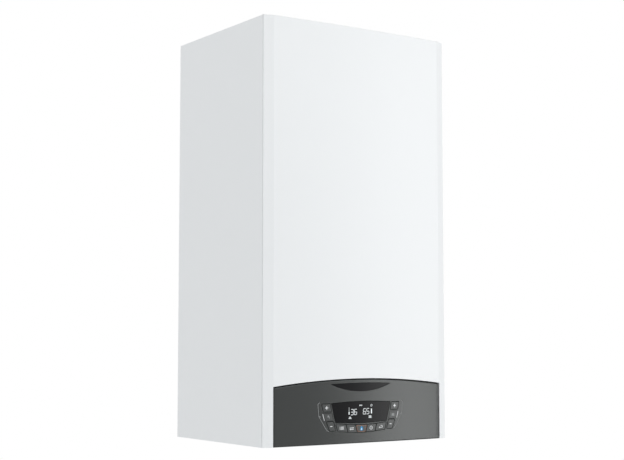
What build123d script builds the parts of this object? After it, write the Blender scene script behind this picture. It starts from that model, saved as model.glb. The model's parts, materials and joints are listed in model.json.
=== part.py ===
from build123d import *
import math
import os

os.makedirs("parts", exist_ok=True)

# A wall-hung system boiler: white steel casing, grey control fascia at the foot of the front,
# and behind it the burner, heat exchanger, pump and expansion vessel.
# The pieces are drawn in millimetres with x to the right as seen from the room, y = 0 on the wall
# and running negative towards the room, and z = 0 at the casing's lower edge.
# Each finished piece is then lowered so that the origin lies midway between the hanging slots.

# Casing
casing_width = 400.0
casing_height = 745.0
casing_depth = 308.0
front_bulge = 4.0
bevel_width = 17.8
bevel_depth = 6.3
panel_sheet = 1.0
frame_sheet = 1.2
seam_gap = 1.8
sheet_gap = 0.2
lap_gap = 0.3
panel_return = 12.0
side_flange = 14.0
frame_flange = 25.0
top_flange = 16.0
top_overlap = 20.0
hook_spacing = 240.0
hook_width = 26.0
hook_drop = 6.0
hook_slot_length = 8.0
gasket_width = 9.0

# Wall fixing
hang_drop = 55.0
slot_spacing = 260.0
slot_length = 24.0
slot_radius = 5.0

# Flue turret on the top
flue_y = -120.0
flue_bore = 30.3
air_bore = 50.3
turret_wall = 2.6
turret_rise = 26.0
turret_flange_radius = 74.0
turret_flange = 3.0
turret_gasket = 1.5
socket_depth = 44.0
duct_insert = 12.0
duct_radius = 28.0
slide_gap = 0.3
rib_count = 4
rib_heights = (0.2, 0.4, 0.83)

# Blanking plate of the twin-pipe air inlet
blank_x = -128.0
blank_y = -205.0
blank_radius = 42.0
blank_thickness = 2.0

# Bottom tray and pipe tails
tray_height = 58.0
tail_y = -135.0
tail_end = 2.0
water_radius = 11.0
gas_radius = 7.5
drain_radius = 10.75
relief_y = -187.0
grommet_wall = 3.8
pipe_wall = 1.0
tail_free = 46.0
tail_shoulder = 1.5

# Hinge of the control box
hinge_z = 11.0
pin_radius = 3.0
pin_clearance = 0.05
pin_shoulder = 5.0
boss_radius = 7.0
boss_length = 10.0
ear_radius = 11.0

# Control fascia
fascia_gap = 1.5
fascia_end_height = 103.6
fascia_mid_height = 116.3
fascia_plate = 3.0
fascia_rim = 18.0
fascia_wall = 2.5

# Badge inset, bare
badge_half = 65.0
badge_end_height = 105.0
badge_mid_height = 106.6
badge_low_height = 91.9
badge_depth = 1.5

# Display window
window_top_half = 64.6
window_top = 71.2
window_bottom_half = 56.2
window_bottom = 37.7
window_arch = 2.3
window_gap = 0.2
window_flange = 0.9
window_thickness = 2.0

# Keys
key_gap = 1.2
key_travel = 0.8
key_proud = 0.3
key_cap = 3.6
key_corner = 1.0
key_flange = 1.2
key_flange_depth = 1.2
key_stem = 2.0
key_stop = 0.3
row_lean = 0.32
row_top = 31.8
row_height = 12.6
row_arc = 480.0
row_dividers = [13.0, 33.6, 55.8]

# Control box
box_wall = 2.5
box_top_front = 99.0
box_top_middle = 96.0
box_top_back = 78.0
board_thickness = 1.6

# Heat exchanger
drum_radius = 112.0
drum_wall = 2.0
drum_back = 40.0
drum_flange = 6.0
spigot_wall = 2.4
coil_turns = 4
coil_inner = 66.0
coil_share = 0.72
coil_web = 1.5

# Burner and its door
burner_radius = 34.0
burner_length = 105.0
door_thickness = 10.0
elbow_radius = 40.0
elbow_width = 46.0
elbow_depth = 30.0
door_sink = 1.0

# Fan
fan_y = -150.0
fan_height = 50.0
fan_wall = 3.0
fan_radius = 66.0
fan_cavity = 52.0
fan_eye = 26.0
fan_motor_radius = 36.0
fan_motor_height = 46.0
impeller_radius = 47.0
impeller_height = 32.0
impeller_blades = 12
shaft_radius = 4.0
shaft_clearance = 0.05

# Gas train
venturi_radius = 32.0
venturi_height = 42.0
valve_width = 72.0
valve_depth = 66.0
valve_height = 92.0

# Expansion vessel
vessel_thickness = 90.0
vessel_width = 220.0
vessel_height = 390.0
vessel_y = -142.0
vessel_corner = 60.0
vessel_edge = 18.0
vessel_seam = 6.0
vessel_wall = 1.6
vessel_port = 4.0

# Pump
pump_z = 168.0
volute_radius = 42.0
volute_depth = 34.0
pump_cavity = 31.0
pump_motor_radius = 44.0
pump_motor_length = 74.0

# Hydraulic blocks and the condensate trap
block_bottom = 72.0
flow_block_height = 78.0
flow_block_width = 58.0
flow_block_depth = 66.0
trap_y = -56.0
trap_radius = 26.0
trap_bottom = 96.0
trap_height = 118.0
bend_radius = 20.0
bend_pieces = 3

# Derived places
half_width = casing_width / 2
front_near = -(casing_depth + 25)
front_far = -(casing_depth - 110)
drum_x = half_width - 140
drum_z = casing_height - 185
drum_front = casing_depth - 68
fan_bottom = drum_z - 230
valve_bottom = fan_bottom - 160
vessel_left = half_width - 6
vessel_bottom = casing_height - 23 - vessel_height
hinge_y = -(casing_depth - 82)
tray_depth = casing_depth - 100
box_back = casing_depth - 90
flat_half = half_width - bevel_width
bulge_radius = (flat_half**2 + front_bulge**2) / (2 * front_bulge)
corner_y = -(casing_depth - bevel_depth)
panel_back_y = corner_y + panel_sheet
side_front_y = panel_back_y + seam_gap
inner_half = half_width - panel_sheet
top_plate_top = casing_height - panel_sheet - lap_gap
top_plate_bottom = top_plate_top - panel_sheet
tray_top = tray_height + frame_sheet
tray_half = inner_half - frame_sheet - sheet_gap
hang_height = casing_height - hang_drop
opening_half = flat_half
fascia_half = flat_half - fascia_gap
tail_spacing = casing_width * 0.1675
trap_x = -tail_spacing
flow_x = -2 * tail_spacing
return_x = 2 * tail_spacing
turret_base = top_plate_top + turret_gasket
turret_top = casing_height + turret_rise
row_frame = Location((0, 0, -hang_height))


def front_y(x):
    """The y of the casing's convex front face above a given x."""
    fall = bulge_radius - math.sqrt(bulge_radius**2 - x**2)
    return -(casing_depth + front_bulge - fall)


def block(x0, x1, y0, y1, z0, z1):
    """A rectangular block between two corners."""
    centre = ((x0 + x1) / 2, (y0 + y1) / 2, (z0 + z1) / 2)
    return Pos(*centre) * Box(abs(x1 - x0), abs(y1 - y0), abs(z1 - z0))


def rod(radius, start, end):
    """A round bar from one point to another."""
    run = Vector(*end) - Vector(*start)
    seat = Plane(origin=start, z_dir=run)
    return seat * Cylinder(radius, run.length, align=(Align.CENTER, Align.CENTER, Align.MIN))


def tube(outer, inner, start, end):
    """A round tube from one point to another."""
    return rod(outer, start, end) - rod(inner, start, end)


def bent_pipe(points, radius, wall, bend=bend_radius):
    """A round pipe along straight runs, each bend made of short mitred pieces."""
    knots = [Vector(*points[0])]
    for before, corner, after in zip(points, points[1:], points[2:]):
        corner = Vector(*corner)
        back, on = (Vector(*before) - corner).normalized(), (Vector(*after) - corner).normalized()
        opening = math.radians(back.get_angle(on))
        reach = bend / math.tan(opening / 2)
        hub = corner + (back + on).normalized() * bend / math.sin(opening / 2)
        start, end = corner + back * reach - hub, corner + on * reach - hub
        turn = math.pi - opening
        for i in range(bend_pieces + 1):
            share = turn * i / bend_pieces
            arm = (start * math.sin(turn - share) + end * math.sin(share)) / math.sin(turn)
            knots.append(hub + arm)
    knots.append(Vector(*points[-1]))
    path = Polyline(*knots)
    seat = Plane(origin=knots[0], z_dir=knots[1] - knots[0])
    return sweep(seat * (Circle(radius) - Circle(radius - wall)), path=path, transition=Transition.RIGHT)


def extruded_z(face, z0, z1):
    """A plan outline raised from one height to another."""
    return Pos(0, 0, z0) * extrude(face, z1 - z0, dir=(0, 0, 1))


def front_prism(points_or_face, y0=front_near, y1=front_far):
    """A front-view outline carried through the casing's front from y0 back to y1."""
    face = points_or_face if isinstance(points_or_face, (Sketch, Face)) else make_face(points_or_face)
    seat = Plane(origin=(0, y0, 0), x_dir=(1, 0, 0), z_dir=(0, -1, 0))
    return extrude(seat * face, y1 - y0, dir=(0, 1, 0))


def side_prism(points, x0, x1):
    """A side-view outline of (y, z) points carried from x0 to x1."""
    ring = Polyline(*[(x0, y, z) for y, z in points], close=True)
    return extrude(make_face(ring), x1 - x0, dir=(1, 0, 0))


def front_skin(depth0, depth1, z0, z1, half=half_width + 20):
    """The layer between two depths behind the convex front face."""
    edges = [(-half, front_y(-half)), (0, front_y(0)), (half, front_y(half))]
    near = ThreePointArc(*[(x, y + depth0) for x, y in edges])
    far = ThreePointArc(*[(x, y + depth1) for x, y in edges])
    ends = [Line(near @ 0, far @ 0), Line(near @ 1, far @ 1)]
    return extruded_z(make_face([near, far] + ends), z0, z1)


def rounded(points, radius):
    """A polygon with its corners rounded."""
    return make_face(FilletPolyline(*points, radius=radius, close=True))


def save(name, *pieces):
    """Lowers a sub-part's solids into the row frame and writes them as one file."""
    solids = [solid.moved(row_frame) for piece in pieces for solid in piece.solids()]
    export_step(solids[0] if len(solids) == 1 else Compound(solids), f"parts/{name}.step")


def mirrored(piece):
    """The piece as seen in the casing's middle plane."""
    return mirror(piece, about=Plane.YZ)


# Casing panels
def casing_plan(half, back_y):
    """Plan of the front panel's tray: bevels at both sides of the convex face."""
    face_arc = ThreePointArc(
        (-flat_half, front_y(flat_half)), (0, front_y(0)), (flat_half, front_y(flat_half))
    )
    rest = Polyline(
        face_arc @ 1, (half, corner_y), (half, back_y), (-half, back_y), (-half, corner_y), face_arc @ 0
    )
    return make_face([face_arc, rest])


def arch_outline(half, end_height, mid_height, foot):
    """Front-view outline with a flat foot and an arched top."""
    arch = ThreePointArc((-half, end_height), (0, mid_height), (half, end_height))
    rest = Polyline(arch @ 1, (half, foot), (-half, foot), arch @ 0)
    return make_face([arch, rest])


def front_panel():
    """Folded front panel: convex face, bevels, returns, and an arched cut-out over the fascia."""
    plan = casing_plan(half_width, panel_back_y)
    shell = extruded_z(plan - offset(plan, -panel_sheet, kind=Kind.INTERSECTION), 0, casing_height)
    return_half = half_width - panel_return
    shell -= block(-return_half, return_half, panel_back_y - panel_sheet, panel_back_y, 0, casing_height)
    lid = extruded_z(plan, casing_height - panel_sheet, casing_height)
    lap_half = inner_half - sheet_gap * 2
    lid_back_y = side_front_y + top_overlap
    lap = block(-lap_half, lap_half, panel_back_y, lid_back_y, casing_height - panel_sheet, casing_height)
    feet = extruded_z(plan, 0, panel_sheet)
    arch_rise = fascia_gap
    cut = arch_outline(opening_half, fascia_end_height + arch_rise, fascia_mid_height + arch_rise, -5)
    cut_edge = arch_outline(
        opening_half + panel_sheet,
        fascia_end_height + arch_rise + panel_sheet,
        fascia_mid_height + arch_rise + panel_sheet,
        -5,
    )
    lip_zone = extruded_z(casing_plan(half_width, panel_back_y), 0, casing_height)
    lip = (front_prism(cut_edge) - front_prism(cut)) & lip_zone
    panel = shell + lid + lap + feet - front_prism(cut) + lip
    for side in (-1, 1):
        x = side * hook_spacing / 2
        tab_y = lid_back_y - 6.5
        panel += block(
            x - hook_width / 2,
            x + hook_width / 2,
            tab_y - panel_sheet,
            tab_y,
            casing_height - panel_sheet - hook_drop,
            casing_height - panel_sheet,
        )
    return panel


def side_panel():
    """Left side panel: a flat sheet with a narrow return behind the front panel."""
    outer = -half_width
    plan = Polyline(
        (outer, 0),
        (outer + panel_sheet, 0),
        (outer + panel_sheet, side_front_y + panel_sheet),
        (outer + side_flange, side_front_y + panel_sheet),
        (outer + side_flange, side_front_y),
        (outer, side_front_y),
        close=True,
    )
    panel = extruded_z(make_face(plan), 0, casing_height)
    reach = outer + side_flange + 1
    panel -= block(outer + panel_sheet, reach, side_front_y - 1, -top_flange, top_plate_top, casing_height + 1)
    return fillet(panel.edges().filter_by(Axis.Z).sort_by(Axis.X)[:2].sort_by(Axis.Y)[:1], 0.8)


def back_frame():
    """Steel back frame with folded side flanges, pressed ribs and two hanging slots."""
    top = top_plate_bottom - sheet_gap
    frame = block(-inner_half, inner_half, -frame_sheet, 0, 0, top)
    for side in (-1, 1):
        flange_in = side * (inner_half - frame_sheet)
        frame += block(flange_in, side * inner_half, -frame_flange, 0, 0, top)
    rib_radius, rib_half, rib_rise = 7.0, 150.0, 3.0
    for share in rib_heights:
        z = casing_height * share
        centre_y = -frame_sheet + rib_radius - rib_rise
        bead = rod(rib_radius, (-rib_half, centre_y, z), (rib_half, centre_y, z))
        frame += bead & block(-rib_half, rib_half, -20, -frame_sheet / 2, z - 20, z + 20)
    slot = SlotOverall(slot_length, slot_radius * 2)
    for side in (-1, 1):
        frame -= Pos(side * slot_spacing / 2, 0, hang_height) * front_prism(slot, -20, 20)
    return frame


def top_plate():
    """Top plate with folded edges, the turret's hole and the front panel's hook slots."""
    front = side_front_y + panel_sheet + sheet_gap
    half = inner_half - sheet_gap
    plate = block(-half, half, front, 0, top_plate_bottom, top_plate_top)
    low = top_plate_bottom - top_flange
    plate += block(-half, half, front, front + panel_sheet, low, top_plate_bottom)
    for side in (-1, 1):
        inner = side * (half - panel_sheet)
        plate += block(inner, side * half, front, -frame_flange - sheet_gap, low, top_plate_bottom)
        x = side * hook_spacing / 2
        slot_back = side_front_y + top_overlap - 5.5
        plate -= block(
            x - hook_width / 2 - 2,
            x + hook_width / 2 + 2,
            slot_back - hook_slot_length,
            slot_back,
            top_plate_bottom - 1,
            top_plate_top + 1,
        )
    plate -= rod(air_bore, (0, flue_y, low), (0, flue_y, casing_height))
    return plate


tails = {
    "flow": (flow_x, tail_y, water_radius),
    "condensate": (trap_x, trap_y, drain_radius),
    "gas": (0.0, tail_y, gas_radius),
    "return": (return_x, tail_y, water_radius),
    "relief": (flow_x, relief_y, gas_radius),
}


def tail(name, top):
    """A pipe tail: a plain free end below a thicker shoulder that passes the tray."""
    x, y, radius = tails[name]
    shoulder = tail_end + tail_free
    pipe = rod(radius, (x, y, tail_end), (x, y, shoulder))
    pipe += rod(radius + tail_shoulder, (x, y, shoulder), (x, y, top))
    return pipe - rod(radius - pipe_wall, (x, y, tail_end), (x, y, top))


def bottom_tray():
    """Bottom tray: a plate with a hole for each pipe, and cheeks that end in the hinge ears."""
    back = -frame_sheet - sheet_gap
    tray = block(-tray_half, tray_half, -tray_depth, back, tray_height, tray_top)
    foot = 3.0
    ear_top = 32.0
    ear_front = hinge_y - ear_radius
    cheek = side_prism(
        [
            (back - frame_flange, foot),
            (ear_front, foot),
            (ear_front, ear_top - 8),
            (ear_front + 8, ear_top),
            (-tray_depth, ear_top),
            (-tray_depth, tray_top),
            (back - frame_flange, tray_top),
        ],
        -tray_half,
        -tray_half + frame_sheet,
    )
    hole = rod(pin_radius + pin_clearance, (-half_width, hinge_y, hinge_z), (-tray_half + 5, hinge_y, hinge_z))
    cheek -= hole
    tray = tray + cheek + mirrored(cheek)
    for x, y, radius in tails.values():
        hole = radius + tail_shoulder + grommet_wall + sheet_gap
        tray -= rod(hole, (x, y, 0), (x, y, tray_top + 5))
    return tray


def grommets():
    """Rubber grommets that close the tray around each pipe."""
    rings = []
    for x, y, radius in tails.values():
        bore = radius + tail_shoulder + slide_gap / 2
        outer = radius + tail_shoulder + grommet_wall
        neck = tube(outer, bore, (x, y, tray_height - 3), (x, y, tray_top + 3))
        lip = tube(
            outer + 2.5,
            bore,
            (x, y, tray_top + sheet_gap),
            (x, y, tray_top + 3),
        )
        rings.append(neck + lip)
    return rings


save("front_panel", front_panel())
save("left_side_panel", side_panel())
save("right_side_panel", mirrored(side_panel()))
save("back_frame", back_frame())
save("top_plate", top_plate())
save("bottom_tray", bottom_tray())
save("pipe_grommets", *grommets())

# Foam seal strips on the side panels' returns, behind the front panel
seal_x = half_width - side_flange + 1
seal_foot = fascia_mid_height + 10
seal_top = casing_height - 6
seal = block(
    -seal_x - gasket_width, -seal_x, side_front_y - seam_gap + slide_gap, side_front_y, seal_foot, seal_top
)
save("panel_gasket", seal, mirrored(seal))


# Flue turret and what sits on the top plate
def flue_turret():
    """Concentric flue socket: inner flue tube, outer air collar, flange and ribs."""
    collar = tube(air_bore + turret_wall, air_bore, (0, flue_y, turret_base), (0, flue_y, turret_top))
    socket_foot = top_plate_top - socket_depth
    socket = tube(
        flue_bore + turret_wall,
        duct_radius + slide_gap,
        (0, flue_y, socket_foot),
        (0, flue_y, turret_top - 2),
    )
    flange = tube(
        turret_flange_radius, air_bore, (0, flue_y, turret_base), (0, flue_y, turret_base + turret_flange)
    )
    turret = collar + flange
    rib_low = turret_base
    for i in range(rib_count):
        angle = 45 + 360 / rib_count * i
        rib = block(flue_bore + 1, air_bore + 1, -1, 1, rib_low, rib_low + 10)
        turret += Pos(0, flue_y, 0) * Rot(0, 0, angle) * rib
    turret += socket
    stop = socket_foot + duct_insert + 1
    turret -= rod(flue_bore, (0, flue_y, stop), (0, flue_y, turret_top))
    for side in (-1, 1):
        x = side * sampling_x
        y = flue_y - sampling_offset
        boss = rod(8, (x, y, turret_base), (x, y, turret_base + 9))
        turret += boss - rod(5, (x, y, turret_base + 2), (x, y, turret_base + 9))
    return turret


sampling_x = 18.0
sampling_offset = 62.5


def sampling_caps():
    """Plugs of the two test points on the turret's flange."""
    caps = []
    for side in (-1, 1):
        x = side * sampling_x
        y = flue_y - sampling_offset
        top = turret_base + 9
        cap = rod(4.8, (x, y, turret_base + 3), (x, y, top)) + rod(7, (x, y, top), (x, y, top + 4))
        caps.append(cap + block(x - 1.5, x + 1.5, y - 6, y + 6, top + 4, top + 6))
    return caps


screw_head = 3.6
screw_rise = 2.2


def pan_screw(x, y, z):
    """A pan-head sheet screw seen from above: domed head and short shank."""
    head = rod(screw_head, (x, y, z), (x, y, z + screw_rise))
    head = chamfer(head.edges().sort_by(Axis.Z)[-1:], 1.0)
    return head


def ring_of_screws(x, y, z, radius, count, first):
    """Screws spaced evenly round a flange."""
    return [
        pan_screw(
            x + radius * math.cos(math.radians(first + 360 / count * i)),
            y + radius * math.sin(math.radians(first + 360 / count * i)),
            z,
        )
        for i in range(count)
    ]


save("flue_turret", flue_turret())
save("sampling_caps", *sampling_caps())
save(
    "turret_gasket",
    tube(turret_flange_radius - 2, air_bore + 2, (0, flue_y, top_plate_top), (0, flue_y, turret_base)),
)
blank_top = top_plate_top + blank_thickness
blank_disc = rod(blank_radius, (blank_x, blank_y, top_plate_top), (blank_x, blank_y, blank_top))
blank_dome = rod(blank_radius - 12, (blank_x, blank_y, blank_top), (blank_x, blank_y, blank_top + 2))
save("air_blanking_plate", blank_disc + chamfer(blank_dome.edges().sort_by(Axis.Z)[-1:], 1.2))
top_screws = ring_of_screws(0, flue_y, turret_base + turret_flange, turret_flange_radius - 8, 4, 0)
top_screws += ring_of_screws(blank_x, blank_y, blank_top, blank_radius - 6, 3, 90)
save("casing_screws", *top_screws)


# Heat exchanger, burner and flue duct
def on_drum(y):
    """A point on the drum's axis."""
    return (drum_x, -y, drum_z)


def drum_surface(x):
    """Height of the drum's shell below its axis at a given x."""
    return math.sqrt(drum_radius**2 - (x - drum_x) ** 2)


spigot_top = top_plate_top - socket_depth - 18
flow_port_z = drum_z - 40
flow_port_y = -110.0
flow_port_x = drum_x - drum_radius - 22
condensate_port_z = drum_z - drum_radius - 14
return_port_z = drum_z - 110


def exchanger_body():
    """Stainless drum with a front flange, flue spigot, water ports and condensate outlet."""
    shell = rod(drum_radius, on_drum(drum_back), on_drum(drum_front))
    for y in (drum_back + 40, drum_front - 50):
        shell += rod(drum_radius + 2, on_drum(y), on_drum(y + 9))
    shell += rod(drum_radius + 7, on_drum(drum_front - drum_flange), on_drum(drum_front))
    spigot_bore = duct_radius + slide_gap
    spigot_radius = spigot_bore + spigot_wall
    shell += rod(spigot_radius, (0, flue_y, drum_z), (0, flue_y, spigot_top))
    shell += rod(water_radius + 2, (drum_x, flow_port_y, flow_port_z), (flow_port_x, flow_port_y, flow_port_z))
    shell += rod(water_radius + 2, (return_x, tail_y, drum_z), (return_x, tail_y, return_port_z))
    shell += rod(drain_radius + 2, (drum_x, trap_y, drum_z), (drum_x, trap_y, condensate_port_z))
    shell -= rod(drum_radius - drum_wall, on_drum(drum_back + drum_wall), on_drum(drum_front))
    shell -= rod(spigot_bore, (0, flue_y, drum_z), (0, flue_y, spigot_top))
    shell -= rod(water_radius, (drum_x, flow_port_y, flow_port_z), (flow_port_x, flow_port_y, flow_port_z))
    shell -= rod(water_radius, (return_x, tail_y, drum_z), (return_x, tail_y, return_port_z))
    shell -= rod(drain_radius, (drum_x, trap_y, drum_z), (drum_x, trap_y, condensate_port_z))
    return shell


def exchanger_coil():
    """Water coil inside the drum: each turn is a channel between two webs on a thin sleeve."""
    outer = drum_radius - drum_wall - slide_gap
    front = drum_front - 12.0
    back = drum_back + drum_wall + slide_gap
    pitch = (front - back) / coil_turns
    coil = tube(coil_inner + 3, coil_inner, on_drum(back), on_drum(front))
    for i in range(coil_turns):
        for start in (back + pitch * i, back + pitch * (i + coil_share)):
            coil += tube(outer, coil_inner + 2, on_drum(start), on_drum(start + coil_web))
    return coil


door_back = drum_front + slide_gap
door_front = door_back + door_thickness
fan_x = drum_x - fan_radius + elbow_width / 2
fan_top = fan_bottom + fan_height


def burner_door():
    """Cast door with a mixing elbow that comes up from the fan and ribs round its rim."""
    door = rod(drum_radius + 5, on_drum(door_back), on_drum(door_front))
    door += rod(elbow_radius, on_drum(door_front), on_drum(door_front + elbow_depth))
    elbow = block(
        drum_x - elbow_width / 2,
        drum_x + elbow_width / 2,
        -door_front + door_sink,
        -door_front - elbow_depth,
        fan_bottom,
        drum_z,
    )
    door += fillet(elbow.edges().filter_by(Axis.Z), 6)
    for i in range(8):
        rib = block(elbow_radius - 4, drum_radius - 4, -door_front - 5, -door_front + door_sink, -2, 2)
        turn = 22.5 + 45 * i
        turned = Pos(drum_x, 0, drum_z) * Rot(0, turn, 0) * rib
        door += turned
    nut_circle = drum_radius - 3
    for i in range(6):
        angle = math.radians(60 * i)
        x = drum_x + nut_circle * math.cos(angle)
        z = drum_z + nut_circle * math.sin(angle)
        door += rod(7, (x, -door_front + door_sink, z), (x, -door_front - 4, z))
    for x, z in electrode_places():
        door -= rod(electrode_radius + slide_gap, (x, -door_back, z), (x, -door_front, z))
    return door


electrode_radius = 4.0
electrode_circle = 62.0


def electrode_places():
    """Where the ignition and sensing electrodes pass through the door."""
    places = []
    for degrees in (135, 90):
        angle = math.radians(degrees)
        places.append((drum_x + electrode_circle * math.cos(angle), drum_z + electrode_circle * math.sin(angle)))
    return places


def electrodes():
    """Two ceramic electrodes with their steel rods inside the chamber."""
    pieces = []
    for x, z in electrode_places():
        ceramic = rod(electrode_radius, (x, -door_back, z), (x, -door_front - 22, z))
        collar = rod(8, (x, -door_front - slide_gap, z), (x, -door_front - 6, z))
        wire = rod(1.5, (x, -drum_front + 40, z), (x, -door_back, z))
        pieces.append(ceramic + collar + wire)
    return pieces


burner_shell = tube(burner_radius, burner_radius - 1.5, on_drum(door_back), on_drum(door_back - burner_length))
burner_end = rod(burner_radius, on_drum(door_back - burner_length), on_drum(door_back - burner_length - 2))
save("exchanger_body", exchanger_body())
save("exchanger_coil", exchanger_coil())
save("burner_door", burner_door())
save("burner", burner_shell + burner_end)
save("electrodes", *electrodes())
save(
    "flue_duct",
    tube(
        duct_radius,
        duct_radius - 1.2,
        (0, flue_y, spigot_top - duct_insert),
        (0, flue_y, top_plate_top - socket_depth + duct_insert),
    ),
)


# Fan: scroll housing, motor and impeller on a vertical shaft
def scroll_outline(grow):
    """Spiral plan of the scroll, tangent to its outlet, shrunk or grown by a wall."""
    small = fan_cavity + fan_wall
    rise = fan_radius - small
    steps = 9
    points = []
    for i in range(steps):
        turn = math.radians(270 * i / (steps - 1))
        reach = small + rise * i / (steps - 1) + grow
        points.append((fan_x - reach * math.sin(turn), fan_y - reach * math.cos(turn)))
    spiral = Spline(*points, tangents=[(-1, 0), (0, -1)])
    end = spiral @ 1
    start = spiral @ 0
    mouth = -door_front + door_sink
    rest = Polyline(end, (end.X, mouth), (end.X - elbow_width - 2 * grow, mouth), start)
    return make_face([spiral, rest])


def fan_housing():
    """Pressed scroll with an eye below, a shaft hole above and an outlet to the front."""
    shell = extruded_z(scroll_outline(0), fan_bottom, fan_top)
    shell -= rod(fan_cavity, (fan_x, fan_y, fan_bottom + fan_wall), (fan_x, fan_y, fan_top - fan_wall))
    outlet = elbow_width / 2 - fan_wall
    shell -= block(
        drum_x - outlet, drum_x + outlet, -door_front, fan_y, fan_bottom + fan_wall, fan_top - fan_wall
    )
    shell -= rod(fan_eye, (fan_x, fan_y, fan_bottom - 1), (fan_x, fan_y, fan_bottom + fan_wall + 1))
    hole = shaft_radius + shaft_clearance
    shell -= rod(hole, (fan_x, fan_y, fan_top - fan_wall - 1), (fan_x, fan_y, fan_top + 1))
    return shell


def fan_impeller():
    """Backplate, blades and shroud ring on the motor's shaft."""
    low = fan_bottom + fan_wall + 5
    high = low + impeller_height
    wheel = rod(impeller_radius, (fan_x, fan_y, high - 2), (fan_x, fan_y, high))
    wheel += tube(impeller_radius, impeller_radius - 14, (fan_x, fan_y, low), (fan_x, fan_y, low + 2))
    wheel += rod(12, (fan_x, fan_y, low + 8), (fan_x, fan_y, high))
    for i in range(impeller_blades):
        blade = Rot(0, 0, 35) * block(-9, 9, -1, 1, low + 1, high - 1)
        turn = 360 / impeller_blades * i
        wheel += Pos(fan_x, fan_y, 0) * Rot(0, 0, turn) * Pos(impeller_radius - 9.5, 0, 0) * blade
    wheel &= rod(impeller_radius, (fan_x, fan_y, low), (fan_x, fan_y, high))
    wheel += rod(shaft_radius, (fan_x, fan_y, low + 10), (fan_x, fan_y, fan_top + 22))
    return wheel


def fan_motor():
    """Motor can on top of the scroll, with a plug housing at its side."""
    base = fan_top
    can = rod(fan_motor_radius, (fan_x, fan_y, base), (fan_x, fan_y, base + fan_motor_height))
    can = chamfer(can.edges().sort_by(Axis.Z)[-1:], 5)
    can += rod(fan_motor_radius + 8, (fan_x, fan_y, base), (fan_x, fan_y, base + 4))
    can += block(fan_x - 12, fan_x + 12, fan_y - fan_motor_radius - 10, fan_y, base + 8, base + 26)
    can -= rod(shaft_radius + shaft_clearance, (fan_x, fan_y, base - 1), (fan_x, fan_y, base + 24))
    return can


def venturi():
    """Air and gas mixer under the fan's eye, open at its foot."""
    top = fan_bottom
    foot = top - venturi_height
    profile = Polyline(
        (fan_eye, 0, top),
        (venturi_radius + 8, 0, top),
        (venturi_radius + 8, 0, top - 5),
        (venturi_radius, 0, top - 5),
        (venturi_radius - 4, 0, top - venturi_height / 2),
        (venturi_radius, 0, foot + 4),
        (venturi_radius + 4, 0, foot),
        (venturi_radius, 0, foot),
        (venturi_radius - 10, 0, top - venturi_height / 2),
        close=True,
    )
    mixer = Pos(fan_x, fan_y, 0) * revolve(make_face(profile), Axis.Z)
    port_x = fan_x + venturi_radius - 6
    port = rod(feed_radius + 4, (port_x, fan_y, feed_top), (fan_x + venturi_radius + 9, fan_y, feed_top))
    mixer += port - rod(venturi_radius - 7, (fan_x, fan_y, foot), (fan_x, fan_y, top))
    return mixer - rod(feed_radius, (fan_x + 10, fan_y, feed_top), (fan_x + 60, fan_y, feed_top))


feed_radius = 8.0
feed_top = fan_bottom - venturi_height / 2

save("fan_housing", fan_housing())
save("fan_impeller", fan_impeller())
save("fan_motor", fan_motor())
save("venturi", venturi())

# Gas valve with its inlet pipe and the feed to the mixer
valve_top = valve_bottom + valve_height


def gas_valve():
    """Cast gas valve body with its two coils and the adjuster cap."""
    half = valve_width / 2
    front = tail_y - valve_depth / 2
    back = tail_y + valve_depth / 2
    body = block(-half, half, front, back, valve_bottom, valve_top)
    body = fillet(body.edges().filter_by(Axis.Y), 8)
    body += rod(17, (-14, front, valve_top - 28), (-14, front - 26, valve_top - 28))
    body += rod(13, (18, front, valve_top - 28), (18, front - 18, valve_top - 28))
    body += block(-half + 6, half - 6, front - 14, front, valve_bottom + 8, valve_bottom + 34)
    body += rod(gas_radius + 6, (0, tail_y, valve_bottom - 10), (0, tail_y, valve_bottom))
    body += rod(feed_radius + 4, (half, fan_y, feed_low), (half + 10, fan_y, feed_low))
    return body


feed_low = valve_top - 24
feed_bend = 16.0
feed_start = valve_width / 2 + 10
feed_end = fan_x + venturi_radius + 9
feed_reach = feed_end + 26
save("gas_valve", gas_valve())
save("gas_inlet_pipe", tail("gas", valve_bottom - 10))
feed_route = [
    (feed_start, fan_y, feed_low),
    (feed_reach, fan_y, feed_low),
    (feed_reach, fan_y, feed_top),
    (feed_end, fan_y, feed_top),
]
save("gas_feed_pipe", bent_pipe(feed_route, feed_radius, pipe_wall, feed_bend))


# Expansion vessel
def vessel_half(seat, wall):
    """The vessel's rounded box, shrunk by a wall."""
    width, height = vessel_width - 2 * wall, vessel_height - 2 * wall
    outline = RectangleRounded(width, height, vessel_corner - wall)
    body = extrude(seat * outline, vessel_thickness - 2 * wall)
    return chamfer(body.faces().filter_by(Axis.X).edges(), vessel_edge - wall)


def expansion_vessel():
    """Flat steel vessel of two pressed halves with a crimped seam between them."""
    centre_x = -vessel_left + vessel_thickness / 2
    centre_z = vessel_bottom + vessel_height / 2
    seat = Plane(origin=(-vessel_left, vessel_y, centre_z), x_dir=(0, 1, 0), z_dir=(1, 0, 0))
    body = vessel_half(seat, 0)
    seam_seat = Plane(origin=(centre_x - 2, vessel_y, centre_z), x_dir=(0, 1, 0), z_dir=(1, 0, 0))
    seam_size = (vessel_width + 2 * vessel_seam, vessel_height + 2 * vessel_seam)
    body += extrude(seam_seat * RectangleRounded(*seam_size, vessel_corner + vessel_seam), 4)
    port_foot = vessel_bottom - 14
    body += rod(9, (centre_x, vessel_y, port_foot), (centre_x, vessel_y, vessel_bottom + 12))
    top = vessel_bottom + vessel_height
    body += rod(5, (centre_x, vessel_y + 70, top - 8), (centre_x, vessel_y + 70, top + 9))
    body -= vessel_half(seat.offset(vessel_wall), vessel_wall)
    return body - rod(vessel_port, (centre_x, vessel_y, port_foot), (centre_x, vessel_y, vessel_bottom + 12))


save("expansion_vessel", expansion_vessel())


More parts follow.
